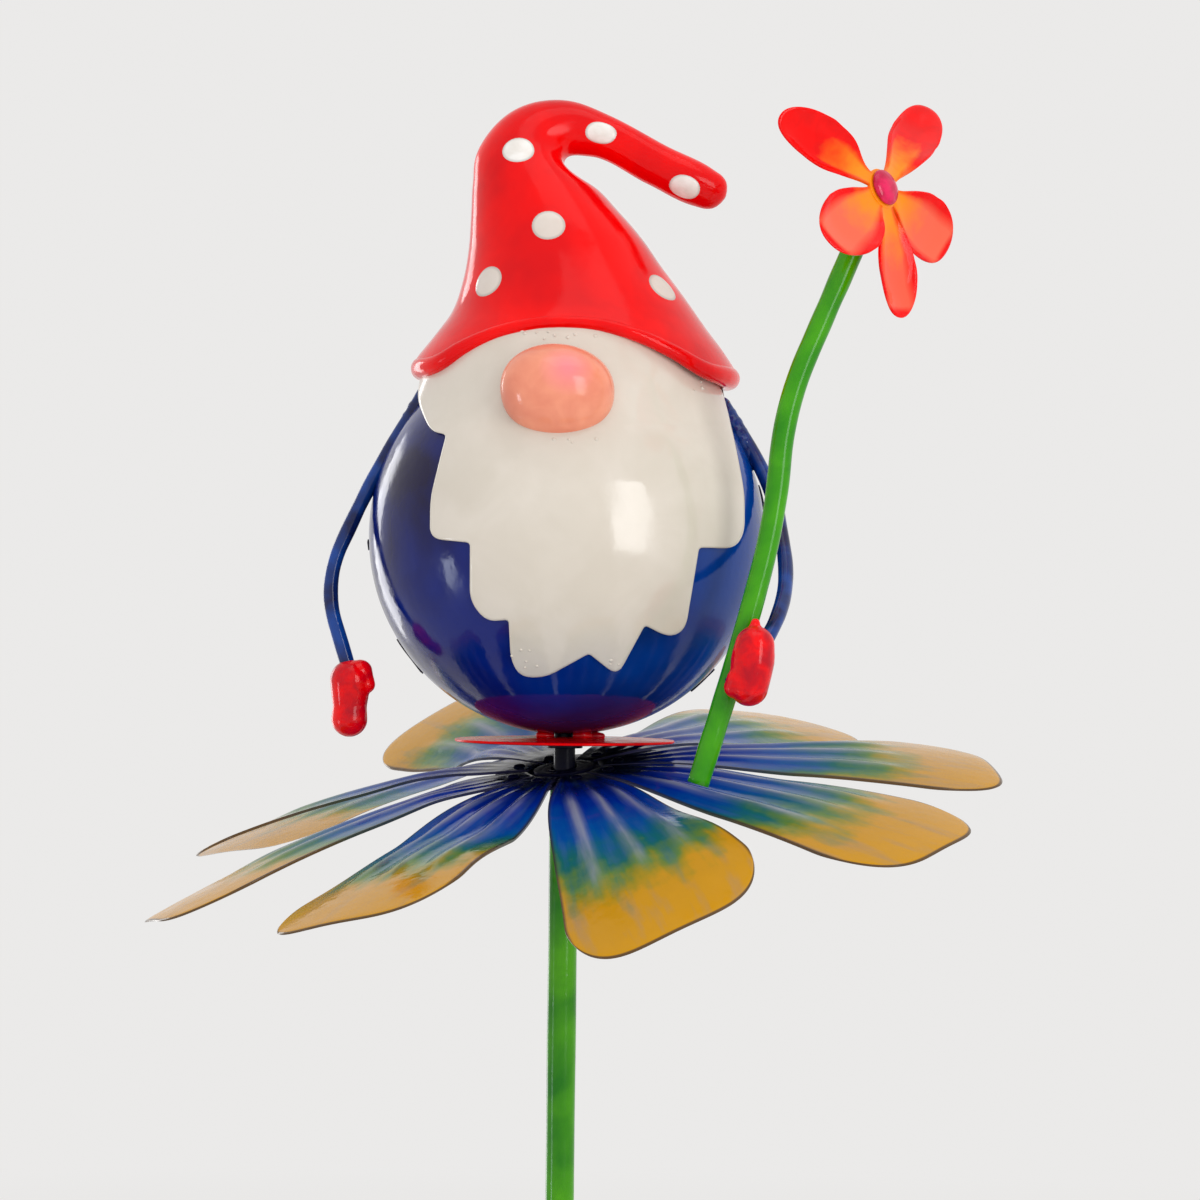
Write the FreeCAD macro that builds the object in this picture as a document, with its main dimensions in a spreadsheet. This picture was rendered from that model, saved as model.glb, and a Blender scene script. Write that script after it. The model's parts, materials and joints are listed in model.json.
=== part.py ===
"""Gnome wind-spinner garden stake, as a parametric FreeCAD document.

A painted steel gnome stands on a two-piece stake.  Under its round body an
eight-petal wheel turns on a flanged bush that is set at a lean on the spindle.
The gnome holds a flower on a bent stem.

Millimetres, +Z up, the gnome faces -Y.  The origin is on the stake's axis at
the ground line.
"""
import FreeCAD, Part
import math
import os

import Sketcher
from FreeCAD import Placement, Rotation, Vector

DIMENSIONS = {
    # two-piece stake
    "rod_radius": 3.5,
    "rod_spigot_radius": 2.95,
    "rod_ground_depth": 140.0,
    "rod_point_length": 18.0,
    "collar_height": 4.0,
    "collar_radius": 5.0,
    "tube_radius": 4.0,
    "tube_bore_radius": 3.0,
    "tube_bottom": 120.0,
    "socket_depth": 40.0,
    # spindle and bush
    "hub_height": 432.0,
    "spindle_radius": 2.95,
    "tube_gap_under_hub": 4.2,
    "washer_thickness": 0.8,
    "washer_radius": 5.0,
    "bush_bore_radius": 3.8,
    "bush_radius": 6.0,
    "bush_flange_radius": 8.5,
    "bush_flange_thickness": 0.8,
    "bush_flange_bottom": 2.3,
    "bush_top": 0.5,
    "running_gap": 0.1,
    "hub_bore_radius": 6.05,
    "hub_plate_radius": 20.0,
    "hub_plate_thickness": 1.0,
    "wheel_lean": 12.0,
    "wheel_lean_bearing": 35.0,
    # petals
    "petal_thickness": 0.8,
    "petal_inner_radius": 9.5,
    "petal_inner_half_width": 3.0,
    "petal_flat_radius": 20.0,
    "petal_flat_half_width": 7.0,
    "petal_neck_radius": 33.0,
    "petal_neck_half_width": 11.8,
    "petal_mid_radius": 66.0,
    "petal_mid_half_width": 19.5,
    "petal_wide_radius": 98.0,
    "petal_wide_half_width": 26.0,
    "petal_tip_radius": 121.0,
    "petal_twist_growth": 12.0,
    "petal_slope": 0.03,
    "petal_curl": 0.0016,
    "rivet_circle_radius": 15.0,
    "rivet_radius": 1.2,
    "rivet_head_radius": 1.9,
    "rivet_head_height": 0.7,
    # disc and ball body
    "disc_radius": 30.5,
    "disc_thickness": 0.8,
    "disc_bottom": 8.2,
    "disc_cone_drop": 0.8,
    "support_ring_radius": 5.0,
    "support_ring_height": 2.4,
    "ball_radius": 55.0,
    "ball_wall": 0.8,
    "ball_above_hub": 64.5,
    "nut_across_corners": 11.5,
    "nut_height": 5.0,
    "nut_gap": 0.6,
    "spindle_above_nut": 3.0,
    # face
    "beard_thickness": 1.0,
    "beard_gap": 0.1,
    "beard_lowest_height": -50.0,
    "beard_bend_height": 30.0,
    "beard_top_height": 58.0,
    "beard_top_radius": 34.0,
    "nose_half_width": 16.0,
    "nose_half_height": 12.6,
    "nose_above_ball": 38.0,
    "nose_forward": 44.0,
    "nose_aside": -2.6,
    # hat
    "hat_wall": 1.0,
    "hat_arch_radius": 100.0,
    "hat_arch_top": 120.5,
    "hat_tip_solid_radius": 7.0,
    "hat_disc_radius": 28.0,
    "hat_disc_height": 128.0,
    "hat_disc_thickness": 1.0,
    "hat_post_radius": 5.0,
    # arms, gloves and held flower
    "arm_radius": 2.0,
    "arm_bend_radius": 9.0,
    "stem_radius": 3.0,
    "stem_bend_radius": 25.0,
    "glove_half_width": 5.4,
    "glove_half_length": 10.8,
    "thumb_radius": 3.1,
    "flower_petal_length": 36.0,
    "flower_petal_half_width": 8.4,
    "flower_petal_root": 2.6,
    "flower_disc_radius": 6.0,
    "flower_thickness": 0.8,
    "flower_rivet_radius": 2.0,
    "flower_rivet_head": 4.0,
    "flower_washer_radius": 4.5,
}

# Each hub angle is measured from the front towards +X.  A petal is bent by hand outside
# the radius bent_from: pitch is its twist in degrees, lift is a slope added there.
PETALS = [
    {"angle": 12.9, "pitch": 16.4, "lift": 0.01, "bent_from": 60.0},
    {"angle": -29.5, "pitch": 11.6, "lift": 0.14, "bent_from": 60.0},
    {"angle": -71.5, "pitch": 12.5, "lift": -0.02, "bent_from": 30.0},
    {"angle": -122.0, "pitch": 10.1, "lift": -0.09, "bent_from": 30.0},
    {"angle": -163.7, "pitch": -21.0, "lift": 0.29, "bent_from": 60.0},
    {"angle": 143.0, "pitch": 10.5, "lift": 0.07, "bent_from": 60.0},
    {"angle": 96.5, "pitch": 2.9, "lift": 0.05, "bent_from": 60.0},
    {"angle": 54.5, "pitch": 0.8, "lift": 0.04, "bent_from": 60.0},
]

# Beard outline in ball radii from the ball's centre: across, up.
BEARD_OUTLINE = [
    (-0.66, 0.97), (-0.75, 0.84), (-0.75, 0.66), (-0.67, 0.50), (-0.59, 0.48),
    (-0.66, 0.17), (-0.66, -0.03), (-0.46, -0.05), (-0.46, -0.33),
    (-0.38, -0.43), (-0.27, -0.42), (-0.26, -0.62), (-0.21, -0.70),
    (-0.09, -0.70), (0.12, -0.58), (0.26, -0.69), (0.39, -0.44),
    (0.51, -0.50), (0.59, -0.46), (0.65, -0.06), (0.83, -0.06),
    (0.88, 0.02), (0.88, 0.22), (0.82, 0.55), (0.77, 0.80),
    (0.68, 0.97), (0.48, 1.04), (-0.46, 1.04),
]

# Hat sections from the brim to the tip, heights above the hub: centre across,
# centre up, half width, half depth, and turn of the section from level.
HAT_SECTIONS = [
    (2.4, 104.0, 47.5, 46.0, 3.0),
    (2.4, 110.0, 45.0, 44.0, 3.0),
    (2.3, 117.5, 40.0, 39.5, 3.0),
    (2.2, 124.0, 36.0, 35.5, 3.0),
    (1.2, 133.0, 30.0, 29.5, 4.0),
    (-1.4, 142.0, 26.0, 25.0, 6.0),
    (-3.6, 150.0, 23.0, 22.0, 8.0),
    (-7.4, 158.5, 19.2, 18.0, 12.0),
    (-10.6, 167.0, 15.2, 14.0, 20.0),
    (-8.0, 174.6, 11.4, 10.5, 50.0),
    (-1.5, 178.2, 8.4, 8.0, 95.0),
    (8.0, 176.6, 7.0, 6.9, 116.0),
    (24.0, 168.6, 6.7, 6.6, 117.0),
    (39.5, 161.0, 5.6, 5.5, 117.0),
]

# Wire routes: across, depth, height above the hub.
LEFT_ARM_ROUTE = [
    (-40.6, -1.0, 103.0), (-53.5, -3.0, 81.0), (-66.6, -8.0, 51.0), (-60.0, -12.0, 29.5),
]
RIGHT_ARM_ROUTE = [
    (44.6, -1.0, 99.5), (56.6, -10.0, 79.0), (60.4, -32.0, 53.0), (55.0, -52.5, 38.5),
    (42.6, -57.4, 24.0),
]
STEM_ROUTE = [
    (35.9, -50.0, -1.6), (47.2, -50.0, 36.0), (55.6, -50.0, 69.0), (57.9, -50.0, 99.0),
    (82.1, -48.0, 156.2),
]
LEFT_GLOVE = {"at": (-58.6, -12.0, 19.0), "roll": 4.0, "thumb": (5.0, 1.2, 3.6)}
RIGHT_GLOVE = {"at": (49.6, -57.4, 30.2), "roll": -6.0, "thumb": (-3.8, -1.0, -5.6)}
FLOWER_FACE = Vector(0.74, -0.61, 0.29)
FLOWER_AT = (83.2, -49.3, 157.0)
# The flower's petals: angle on the flower's face, share of the full petal length.
FLOWER_PETALS = [(29.0, 0.88), (87.0, 1.16), (209.0, 1.0), (261.0, 0.86), (315.0, 1.0)]
BEARD_SWEEP = 150.0
NOSE_TILT = 92.0
DRILL_LENGTH = 10.0
GLOVE_BORE_LENGTH = 30.0
WELD_GAP = 0.05
SHAPE_TOLERANCE = 1e-6


class Size:
    """A number together with the spreadsheet expression that gives it."""

    def __init__(self, value, text):
        self.value = value
        self.text = text

    def __add__(self, other):
        other = as_size(other)
        return Size(self.value + other.value, f"({self.text} + {other.text})")

    def __sub__(self, other):
        other = as_size(other)
        return Size(self.value - other.value, f"({self.text} - {other.text})")

    def __mul__(self, other):
        other = as_size(other)
        return Size(self.value * other.value, f"({self.text} * {other.text})")

    def __neg__(self):
        return Size(-self.value, f"(0 - {self.text})")


def as_size(value):
    return value if isinstance(value, Size) else Size(float(value), f"({float(value)})")


def size(name):
    return Size(DIMENSIONS[name], f"Sizes.{name}")


def number(name):
    """The sheet's own value, for shapes that are worked out in code."""
    return float(getattr(document.Sizes, name))


def bind(target, path, value):
    target.setExpression(path, as_size(value).text)


def make_sheet():
    sheet = document.addObject("Spreadsheet::Sheet", "Sizes")
    for row, (alias, value) in enumerate(DIMENSIONS.items(), start=1):
        sheet.set(f"A{row}", alias)
        sheet.set(f"B{row}", str(value))
        sheet.setAlias(f"B{row}", alias)
    document.recompute()


# ---------------------------------------------------------------- PartDesign helpers

def new_body(label):
    body = document.addObject("PartDesign::Body", "Body_" + label)
    body.Label = label
    return body


def origin_plane(body, role):
    return [item for item in body.Origin.OriginFeatures if item.Role == role][0]


def new_sketch(body, role, offset=None):
    sketch = body.newObject("Sketcher::SketchObject", "Sketch_" + body.Label)
    sketch.AttachmentSupport = [(origin_plane(body, role), "")]
    sketch.MapMode = "FlatFace"
    if offset is not None:
        sketch.AttachmentOffset = offset
    return sketch


def pin_vertex(sketch, line, x, y):
    """Tie a line's start point to the sheet."""
    for kind, value in (("DistanceX", as_size(x)), ("DistanceY", as_size(y))):
        index = sketch.addConstraint(Sketcher.Constraint(kind, -1, 1, line, 1, value.value))
        sketch.renameConstraint(index, f"{kind}_{index}")
        bind(sketch, f"Constraints.{kind}_{index}", value)


def add_loop(sketch, points):
    """A closed run of lines through points, each point tied to the sheet."""
    points = [(as_size(x), as_size(y)) for x, y in points]
    vectors = [Vector(x.value, y.value, 0) for x, y in points]
    lines = []
    for start, end in zip(vectors, vectors[1:] + vectors[:1]):
        lines.append(sketch.addGeometry(Part.LineSegment(start, end), False))
    for line, following in zip(lines, lines[1:] + lines[:1]):
        sketch.addConstraint(Sketcher.Constraint("Coincident", line, 2, following, 1))
    for line, (x, y) in zip(lines, points):
        pin_vertex(sketch, line, x, y)


def add_circle(sketch, radius):
    radius = as_size(radius)
    circle = sketch.addGeometry(Part.Circle(Vector(0, 0, 0), Vector(0, 0, 1), radius.value))
    sketch.addConstraint(Sketcher.Constraint("Coincident", circle, 3, -1, 1))
    index = sketch.addConstraint(Sketcher.Constraint("Radius", circle, radius.value))
    sketch.renameConstraint(index, f"Radius_{index}")
    bind(sketch, f"Constraints.Radius_{index}", radius)


def revolve(body, sketch, feature="PartDesign::Revolution", angle=360.0):
    turned_shape = body.newObject(feature, "Turned_" + body.Label)
    turned_shape.Profile = sketch
    turned_shape.ReferenceAxis = (sketch, ["V_Axis"])
    turned_shape.Angle = angle
    turned_shape.Midplane = angle < 360.0
    return turned_shape


def pad(body, sketch, length, midplane=False):
    solid = body.newObject("PartDesign::Pad", "Pad_" + body.Label)
    solid.Profile = sketch
    solid.Midplane = midplane
    bind(solid, "Length", length)
    return solid


def turned(label, profile, height=0.0, placement=None):
    """A body turned about its own Z axis from a closed profile of (radius, height)."""
    body = new_body(label)
    sketch = new_sketch(body, "XZ_Plane")
    add_loop(sketch, profile)
    revolve(body, sketch)
    if placement is None:
        bind(body, "Placement.Base.z", height)
    else:
        body.Placement = placement
    return body


def ring_profile(inner, outer, bottom, top):
    return [(inner, bottom), (outer, bottom), (outer, top), (inner, top)]


# ---------------------------------------------------------------- Part helpers

def primitive(kind, name, place=None, **sizes):
    item = document.addObject("Part::" + kind, name)
    for path, value in sizes.items():
        bind(item, path, value)
    if place is not None:
        item.Placement = place
    return item


def cut(label, base, tool):
    """Base without tool; an empty label marks a step on the way, not a node."""
    result = document.addObject("Part::Cut", "Cut_" + label)
    result.Base = base
    result.Tool = tool
    if label:
        result.Label = label
    return result


def fuse(name, shapes):
    result = document.addObject("Part::MultiFuse", name)
    result.Shapes = shapes
    return result


def shaped(label, shape):
    item = document.addObject("Part::Feature", "Shape_" + label)
    item.Shape = shape
    item.Label = label
    return item


def at_hub(across, depth, up):
    return Vector(across, depth, up + number("hub_height"))


def from_z(direction):
    return Rotation(Vector(0, 0, 1), direction)


def bent_wire(route, bend_radius):
    """Straight runs through route, joined by tangent arcs."""
    edges = []
    start = route[0]
    for before, corner, after in zip(route, route[1:], route[2:]):
        arriving = (corner - before).normalize()
        leaving = (after - corner).normalize()
        half_turn = arriving.getAngle(leaving) / 2
        setback = bend_radius * math.tan(half_turn)
        arc_start = corner - arriving * setback
        arc_end = corner + leaving * setback
        towards_centre = (leaving - arriving).normalize()
        centre = corner + towards_centre * (bend_radius / math.cos(half_turn))
        arc_middle = centre - towards_centre * bend_radius
        edges.append(Part.LineSegment(start, arc_start).toShape())
        edges.append(Part.Arc(arc_start, arc_middle, arc_end).toShape())
        start = arc_end
    edges.append(Part.LineSegment(start, route[-1]).toShape())
    return Part.Wire(edges)


def bent_rod(label, route, radius_name, bend_name, coping):
    """A bent wire whose end is coped to fit what it is welded to."""
    points = [at_hub(*point) for point in route]
    wire = bent_wire(points, number(bend_name))
    circle = Part.Circle(points[0], points[1] - points[0], number(radius_name))
    section = Part.Wire([circle.toShape()])
    whole = document.addObject("Part::Feature", "Wire_" + label)
    whole.Shape = wire.makePipeShell([section], True, False)
    return cut(label, whole, coping)


# ---------------------------------------------------------------- the stake

def make_stake():
    rod = size("rod_radius")
    spigot = size("rod_spigot_radius")
    depth = size("rod_ground_depth")
    tube_bottom = size("tube_bottom")
    shoulder = tube_bottom - size("collar_height")
    turned("lower_stake_rod", [
        (0.0, -depth),
        (rod, size("rod_point_length") - depth),
        (rod, shoulder),
        (spigot, shoulder),
        (spigot, tube_bottom + size("socket_depth")),
        (0.0, tube_bottom + size("socket_depth")),
    ])
    turned("stake_stop_collar",
           ring_profile(spigot, size("collar_radius"), 0.0, size("collar_height")),
           height=shoulder)
    tube_top = size("hub_height") - size("tube_gap_under_hub")
    turned("upper_stake_tube",
           ring_profile(size("tube_bore_radius"), size("tube_radius"), tube_bottom, tube_top))
    ball_bottom = size("hub_height") + size("ball_above_hub") - size("ball_radius")
    nut_bottom = ball_bottom + size("ball_wall") + size("nut_gap")
    spindle_top = nut_bottom + size("nut_height") + size("spindle_above_nut")
    turned("spindle_rod", [
        (0.0, tube_top - size("socket_depth")),
        (size("spindle_radius"), tube_top - size("socket_depth")),
        (size("spindle_radius"), spindle_top),
        (0.0, spindle_top),
    ])
    turned("thrust_washer",
           ring_profile(size("spindle_radius"), size("washer_radius"), 0.0, size("washer_thickness")),
           height=tube_top)


# ---------------------------------------------------------------- the wheel

def wheel_placement():
    """The hub's place and lean: its front-left side is the low one."""
    bearing = math.radians(number("wheel_lean_bearing"))
    tilt_axis = Vector(math.cos(bearing), -math.sin(bearing), 0)
    return Placement(at_hub(0, 0, 0), Rotation(tilt_axis, number("wheel_lean")))


def make_hub(lean):
    bore = size("bush_bore_radius")
    sleeve = size("bush_radius")
    flange = size("bush_flange_radius")
    flange_bottom = -size("bush_flange_bottom")
    flange_top = flange_bottom + size("bush_flange_thickness")
    top = size("bush_top")
    plate_bottom = flange_top + size("running_gap")
    plate_top = plate_bottom + size("hub_plate_thickness")
    turned("hub_bush", [
        (bore, flange_bottom), (flange, flange_bottom), (flange, flange_top),
        (sleeve, flange_top), (sleeve, top), (bore, top),
    ], placement=lean)
    turned("bush_retaining_ring",
           ring_profile(sleeve, flange, plate_top + size("running_gap"), top), placement=lean)
    plate = new_body("hub_plate")
    disc = new_sketch(plate, "XY_Plane", Placement(Vector(0, 0, plate_bottom.value), Rotation()))
    bind(disc, "AttachmentOffset.Base.z", plate_bottom)
    add_circle(disc, size("hub_plate_radius"))
    add_circle(disc, size("hub_bore_radius"))
    pad(plate, disc, size("hub_plate_thickness"))
    document.recompute()
    for petal in PETALS:
        bore_cut = plate.newObject("PartDesign::SubtractiveCylinder", "RivetHole")
        bind(bore_cut, "Radius", size("rivet_radius"))
        bore_cut.Height = DRILL_LENGTH
        bore_cut.AttachmentOffset = Placement(rivet_point(petal, -DRILL_LENGTH / 2), Rotation())
        bore_cut.AttachmentSupport = [(origin_plane(plate, "XY_Plane"), "")]
        bore_cut.MapMode = "FlatFace"
    plate.Placement = lean
    return plate_bottom, plate_top


def rivet_point(petal, height):
    angle = math.radians(petal["angle"])
    radius = number("rivet_circle_radius")
    return Vector(radius * math.sin(angle), -radius * math.cos(angle), height)


def petal_stations():
    """Radius and half width of each section, root to tip; the tip is a half ellipse."""
    stations = []
    for place in ("inner", "flat", "neck", "mid", "wide"):
        stations.append((size(f"petal_{place}_radius"), size(f"petal_{place}_half_width")))
    wide, width = stations[-1]
    tip_length = size("petal_tip_radius") - wide
    for turn in (32.0, 55.0, 72.0, 84.0):
        along = math.sin(math.radians(turn))
        across = math.sqrt(math.cos(math.radians(turn)))
        stations.append((wide + tip_length * along, width * across))
    return stations


def petal_height(radius, petal):
    """Height of a petal's mid-surface: a gentle slope that curls down outwards."""
    reach = radius - size("petal_flat_radius")
    if reach.value <= 0:
        return as_size(0.0)
    drop = size("petal_slope") * reach + size("petal_curl") * reach * reach
    outside = radius - petal["bent_from"]
    if outside.value <= 0:
        return -drop
    return outside * petal["lift"] - drop


def petal_twist(radius, petal):
    """The pitch grows from nothing where the bend starts to its full value outside it."""
    grown = (radius - petal["bent_from"]) / number("petal_twist_growth")
    return petal["pitch"] * min(max(grown, 0.0), 1.0)


def make_petal(index, petal, plate_top, lean):
    body = new_body(f"petal_{index}")
    sections = []
    mid_height = plate_top + size("petal_thickness") * 0.5
    for radius, half_width in petal_stations():
        twist = Rotation(Vector(0, 0, 1), petal_twist(radius.value, petal))
        height = mid_height + petal_height(radius, petal)
        section = new_sketch(body, "YZ_Plane", Placement(Vector(0, height.value, radius.value), twist))
        bind(section, "AttachmentOffset.Base.y", height)
        bind(section, "AttachmentOffset.Base.z", radius)
        half = size("petal_thickness") * 0.5
        add_loop(section, [(-half_width, -half), (half_width, -half),
                           (half_width, half), (-half_width, half)])
        sections.append(section)
    document.recompute()
    blade = body.newObject("PartDesign::AdditiveLoft", "Blade")
    blade.Profile = sections[0]
    blade.Sections = sections[1:]
    blade.Ruled = True
    document.recompute()
    hole = body.newObject("PartDesign::SubtractiveCylinder", "RivetHole")
    bind(hole, "Radius", size("rivet_radius"))
    hole.Height = DRILL_LENGTH
    drill_start = Vector(number("rivet_circle_radius"), 0, -DRILL_LENGTH / 2)
    hole.AttachmentOffset = Placement(drill_start, Rotation())
    hole.AttachmentSupport = [(origin_plane(body, "XY_Plane"), "")]
    hole.MapMode = "FlatFace"
    turn = Rotation(Vector(0, 0, 1), petal["angle"] - 90.0)
    body.Placement = lean.multiply(Placement(Vector(0, 0, 0), turn))


def make_petal_rivets(plate_bottom, plate_top, lean):
    """Eight rivets, each with a round head above the petal and below the plate."""
    radius = number("rivet_radius")
    head_radius = number("rivet_head_radius")
    head_height = number("rivet_head_height")
    bottom = plate_bottom.value
    top = plate_top.value + number("petal_thickness")
    rivets = []
    for petal in PETALS:
        foot = rivet_point(petal, bottom)
        shank = Part.makeCylinder(radius, top - bottom, foot)
        upper = Part.makeCone(head_radius, head_radius * 0.6, head_height, rivet_point(petal, top))
        lower = Part.makeCone(head_radius * 0.6, head_radius, head_height,
                              rivet_point(petal, bottom - head_height))
        rivets.append(shank.fuse([upper, lower]).removeSplitter())
    item = shaped("petal_rivets", Part.makeCompound(rivets))
    item.Placement = lean


def make_wheel():
    lean = wheel_placement()
    plate_bottom, plate_top = make_hub(lean)
    for index, petal in enumerate(PETALS, start=1):
        make_petal(index, petal, plate_top, lean)
    make_petal_rivets(plate_bottom, plate_top, lean)


# ---------------------------------------------------------------- disc and ball body

def make_disc():
    bore = size("spindle_radius")
    support = size("support_ring_radius")
    thickness = size("disc_thickness")
    drop = size("disc_cone_drop")
    hub = size("hub_height")
    turned("disc_support_ring",
           ring_profile(bore, support, 0.0, size("support_ring_height")),
           height=hub + size("disc_bottom") - size("support_ring_height"))
    turned("base_disc", [
        (bore, 0.0), (support, 0.0), (size("disc_radius"), -drop),
        (size("disc_radius"), thickness - drop), (support, thickness), (bore, thickness),
    ], height=hub + size("disc_bottom"))


def make_ball():
    hub = size("hub_height")
    radius = size("ball_radius")
    wall = size("ball_wall")
    centre = hub + size("ball_above_hub")
    for label, facing in (("ball_front_shell", 180.0), ("ball_rear_shell", 0.0)):
        turn = Rotation(Vector(0, 0, 1), facing)
        outer = primitive("Sphere", "Outer_" + label, Placement(Vector(), turn), Radius=radius)
        outer.Angle3 = 180.0
        inner = primitive("Sphere", "Inner_" + label, Radius=radius - wall)
        spindle_hole = primitive("Cylinder", "Hole_" + label, Radius=size("spindle_radius"),
                                 Height=radius)
        for item in (outer, inner):
            bind(item, "Placement.Base.z", centre)
        bind(spindle_hole, "Placement.Base.z", hub)
        cut(label, outer, fuse("Space_" + label, [inner, spindle_hole]))
    nut = primitive("Prism", "Hex_ball_lock_nut", Circumradius=size("nut_across_corners") * 0.5,
                    Height=size("nut_height"))
    nut.Polygon = 6
    nut_hole = primitive("Cylinder", "Bore_ball_lock_nut", Radius=size("spindle_radius"),
                         Height=size("nut_height"))
    nut_bottom = centre - radius + wall + size("nut_gap")
    for item in (nut, nut_hole):
        bind(item, "Placement.Base.z", nut_bottom)
    cut("ball_lock_nut", nut, nut_hole)


# ---------------------------------------------------------------- face

def beard_surface(offset):
    """One side of the beard's profile, (radius, height) from the ball's centre: its arc's
    radius, where the arc starts and ends, and the top of the straight run above it."""
    radius = size("ball_radius") + size("beard_gap") + offset
    points = []
    for height in (size("beard_lowest_height"), size("beard_bend_height")):
        across = math.sqrt(radius.value ** 2 - height.value ** 2)
        points.append((across, height))
    top = (size("beard_top_radius") + offset, size("beard_top_height"))
    return radius, points, top


def arc_angles(points, radius):
    return [math.asin(height.value / radius.value) for _, height in points]


def make_beard():
    body = new_body("beard_plate")
    strip = new_sketch(body, "XZ_Plane")
    sides = []
    for offset in (as_size(0.0), size("beard_thickness")):
        radius, points, (top_radius, top_height) = beard_surface(offset)
        circle = Part.Circle(Vector(0, 0, 0), Vector(0, 0, 1), radius.value)
        arc = strip.addGeometry(Part.ArcOfCircle(circle, *arc_angles(points, radius)), False)
        bend = Vector(points[1][0], points[1][1].value, 0)
        top = Vector(top_radius.value, top_height.value, 0)
        run = strip.addGeometry(Part.LineSegment(top, bend), False)
        strip.addConstraint(Sketcher.Constraint("Coincident", arc, 3, -1, 1))
        strip.addConstraint(Sketcher.Constraint("Coincident", arc, 2, run, 2))
        index = strip.addConstraint(Sketcher.Constraint("Radius", arc, radius.value))
        strip.renameConstraint(index, f"Radius_{index}")
        bind(strip, f"Constraints.Radius_{index}", radius)
        for end, (_, height) in zip((1, 2), points):
            index = strip.addConstraint(Sketcher.Constraint("DistanceY", -1, 1, arc, end, height.value))
            strip.renameConstraint(index, f"Height_{index}")
            bind(strip, f"Constraints.Height_{index}", height)
        pin_vertex(strip, run, top_radius, top_height)
        foot = Vector(points[0][0], points[0][1].value, 0)
        sides.append((arc, run, foot, top))
    (inner_arc, inner_run, inner_foot, inner_top), (outer_arc, outer_run, outer_foot, outer_top) = sides
    foot_cap = strip.addGeometry(Part.LineSegment(inner_foot, outer_foot), False)
    top_cap = strip.addGeometry(Part.LineSegment(inner_top, outer_top), False)
    for line, end, other, other_end in ((foot_cap, 1, inner_arc, 1), (foot_cap, 2, outer_arc, 1),
                                        (top_cap, 1, inner_run, 1), (top_cap, 2, outer_run, 1)):
        strip.addConstraint(Sketcher.Constraint("Coincident", line, end, other, other_end))
    revolve(body, strip, angle=BEARD_SWEEP)
    document.recompute()
    unit = size("ball_radius")
    outside = unit * 1.6
    outline = new_sketch(body, "YZ_Plane")
    add_loop(outline, [(-outside, -outside), (outside, -outside), (outside, outside), (-outside, outside)])
    add_loop(outline, [(unit * across, unit * up) for across, up in BEARD_OUTLINE])
    trim = body.newObject("PartDesign::Pocket", "Trim")
    trim.Profile = outline
    trim.Type = "ThroughAll"
    trim.Midplane = True
    body.Placement = Placement(at_hub(0, 0, number("ball_above_hub")),
                               Rotation(Vector(0, 0, 1), -90.0))


def capsule(name, half_length, radius, place):
    """A cylinder along its own Z axis with a half sphere on each end."""
    straight = size(half_length) - size(radius)
    middle = primitive("Cylinder", "Middle_" + name, Radius=size(radius), Height=straight * 2)
    bind(middle, "Placement.Base.z", -straight)
    top = primitive("Sphere", "Top_" + name, Radius=size(radius))
    top.Angle1 = 0.0
    bind(top, "Placement.Base.z", straight)
    bottom = primitive("Sphere", "Bottom_" + name, Radius=size(radius))
    bottom.Angle2 = 0.0
    bind(bottom, "Placement.Base.z", -straight)
    whole = fuse(name, [middle, top, bottom])
    whole.Placement = place
    return whole


def make_nose():
    """A rounded nose that sits against the beard plate, its long axis level."""
    centre = at_hub(number("nose_aside"), -number("nose_forward"),
                    number("ball_above_hub") + number("nose_above_ball"))
    level = Rotation(Vector(0, 1, 0), NOSE_TILT)
    whole = capsule("Whole_nose", "nose_half_width", "nose_half_height", Placement(centre, level))
    ball_centre = size("hub_height") + size("ball_above_hub")
    radius, points, (top_radius, top_height) = beard_surface(size("beard_thickness"))
    bend_height = points[1][1]
    cheeks = primitive("Sphere", "Cheeks_nose", Radius=radius + WELD_GAP)
    bind(cheeks, "Placement.Base.z", ball_centre)
    brow = primitive("Cone", "Brow_nose", Radius1=points[1][0] + WELD_GAP,
                     Radius2=top_radius + WELD_GAP, Height=top_height - bend_height)
    bind(brow, "Placement.Base.z", ball_centre + bend_height)
    cut("nose", cut("", whole, cheeks), brow)


# ---------------------------------------------------------------- hat

def hat_loft(inset):
    wires = []
    for across, up, half_width, half_depth, turn in HAT_SECTIONS:
        ellipse = Part.Ellipse(Vector(0, 0, 0), half_width - inset, half_depth - inset)
        wire = Part.Wire([ellipse.toShape()])
        wire.Placement = Placement(at_hub(across, 0, up), Rotation(Vector(0, 1, 0), turn))
        wires.append(wire)
    return Part.makeLoft(wires, True, True)


def make_hat():
    skin = hat_loft(0.0)
    space = hat_loft(number("hat_wall"))
    tip_across, tip_up = HAT_SECTIONS[-1][:2]
    solid_tip = Part.makeSphere(number("hat_tip_solid_radius"), at_hub(tip_across + 2.0, 0, tip_up - 1.0))
    hat = skin.cut(space.cut(solid_tip))
    arch_radius = number("hat_arch_radius")
    reach = 120.0
    brim_across = HAT_SECTIONS[0][0]
    arch_axis = at_hub(brim_across, -reach, number("hat_arch_top") - arch_radius)
    hat = hat.cut(Part.makeCylinder(arch_radius, 2 * reach, arch_axis, Vector(0, 1, 0)))
    front_half = Part.makeBox(2 * reach, reach, 2 * reach, at_hub(-reach, -reach, 0))
    rear_half = Part.makeBox(2 * reach, reach, 2 * reach, at_hub(-reach, 0, 0))
    shaped("hat_front_shell", hat.common(front_half))
    shaped("hat_rear_shell", hat.common(rear_half))


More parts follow.
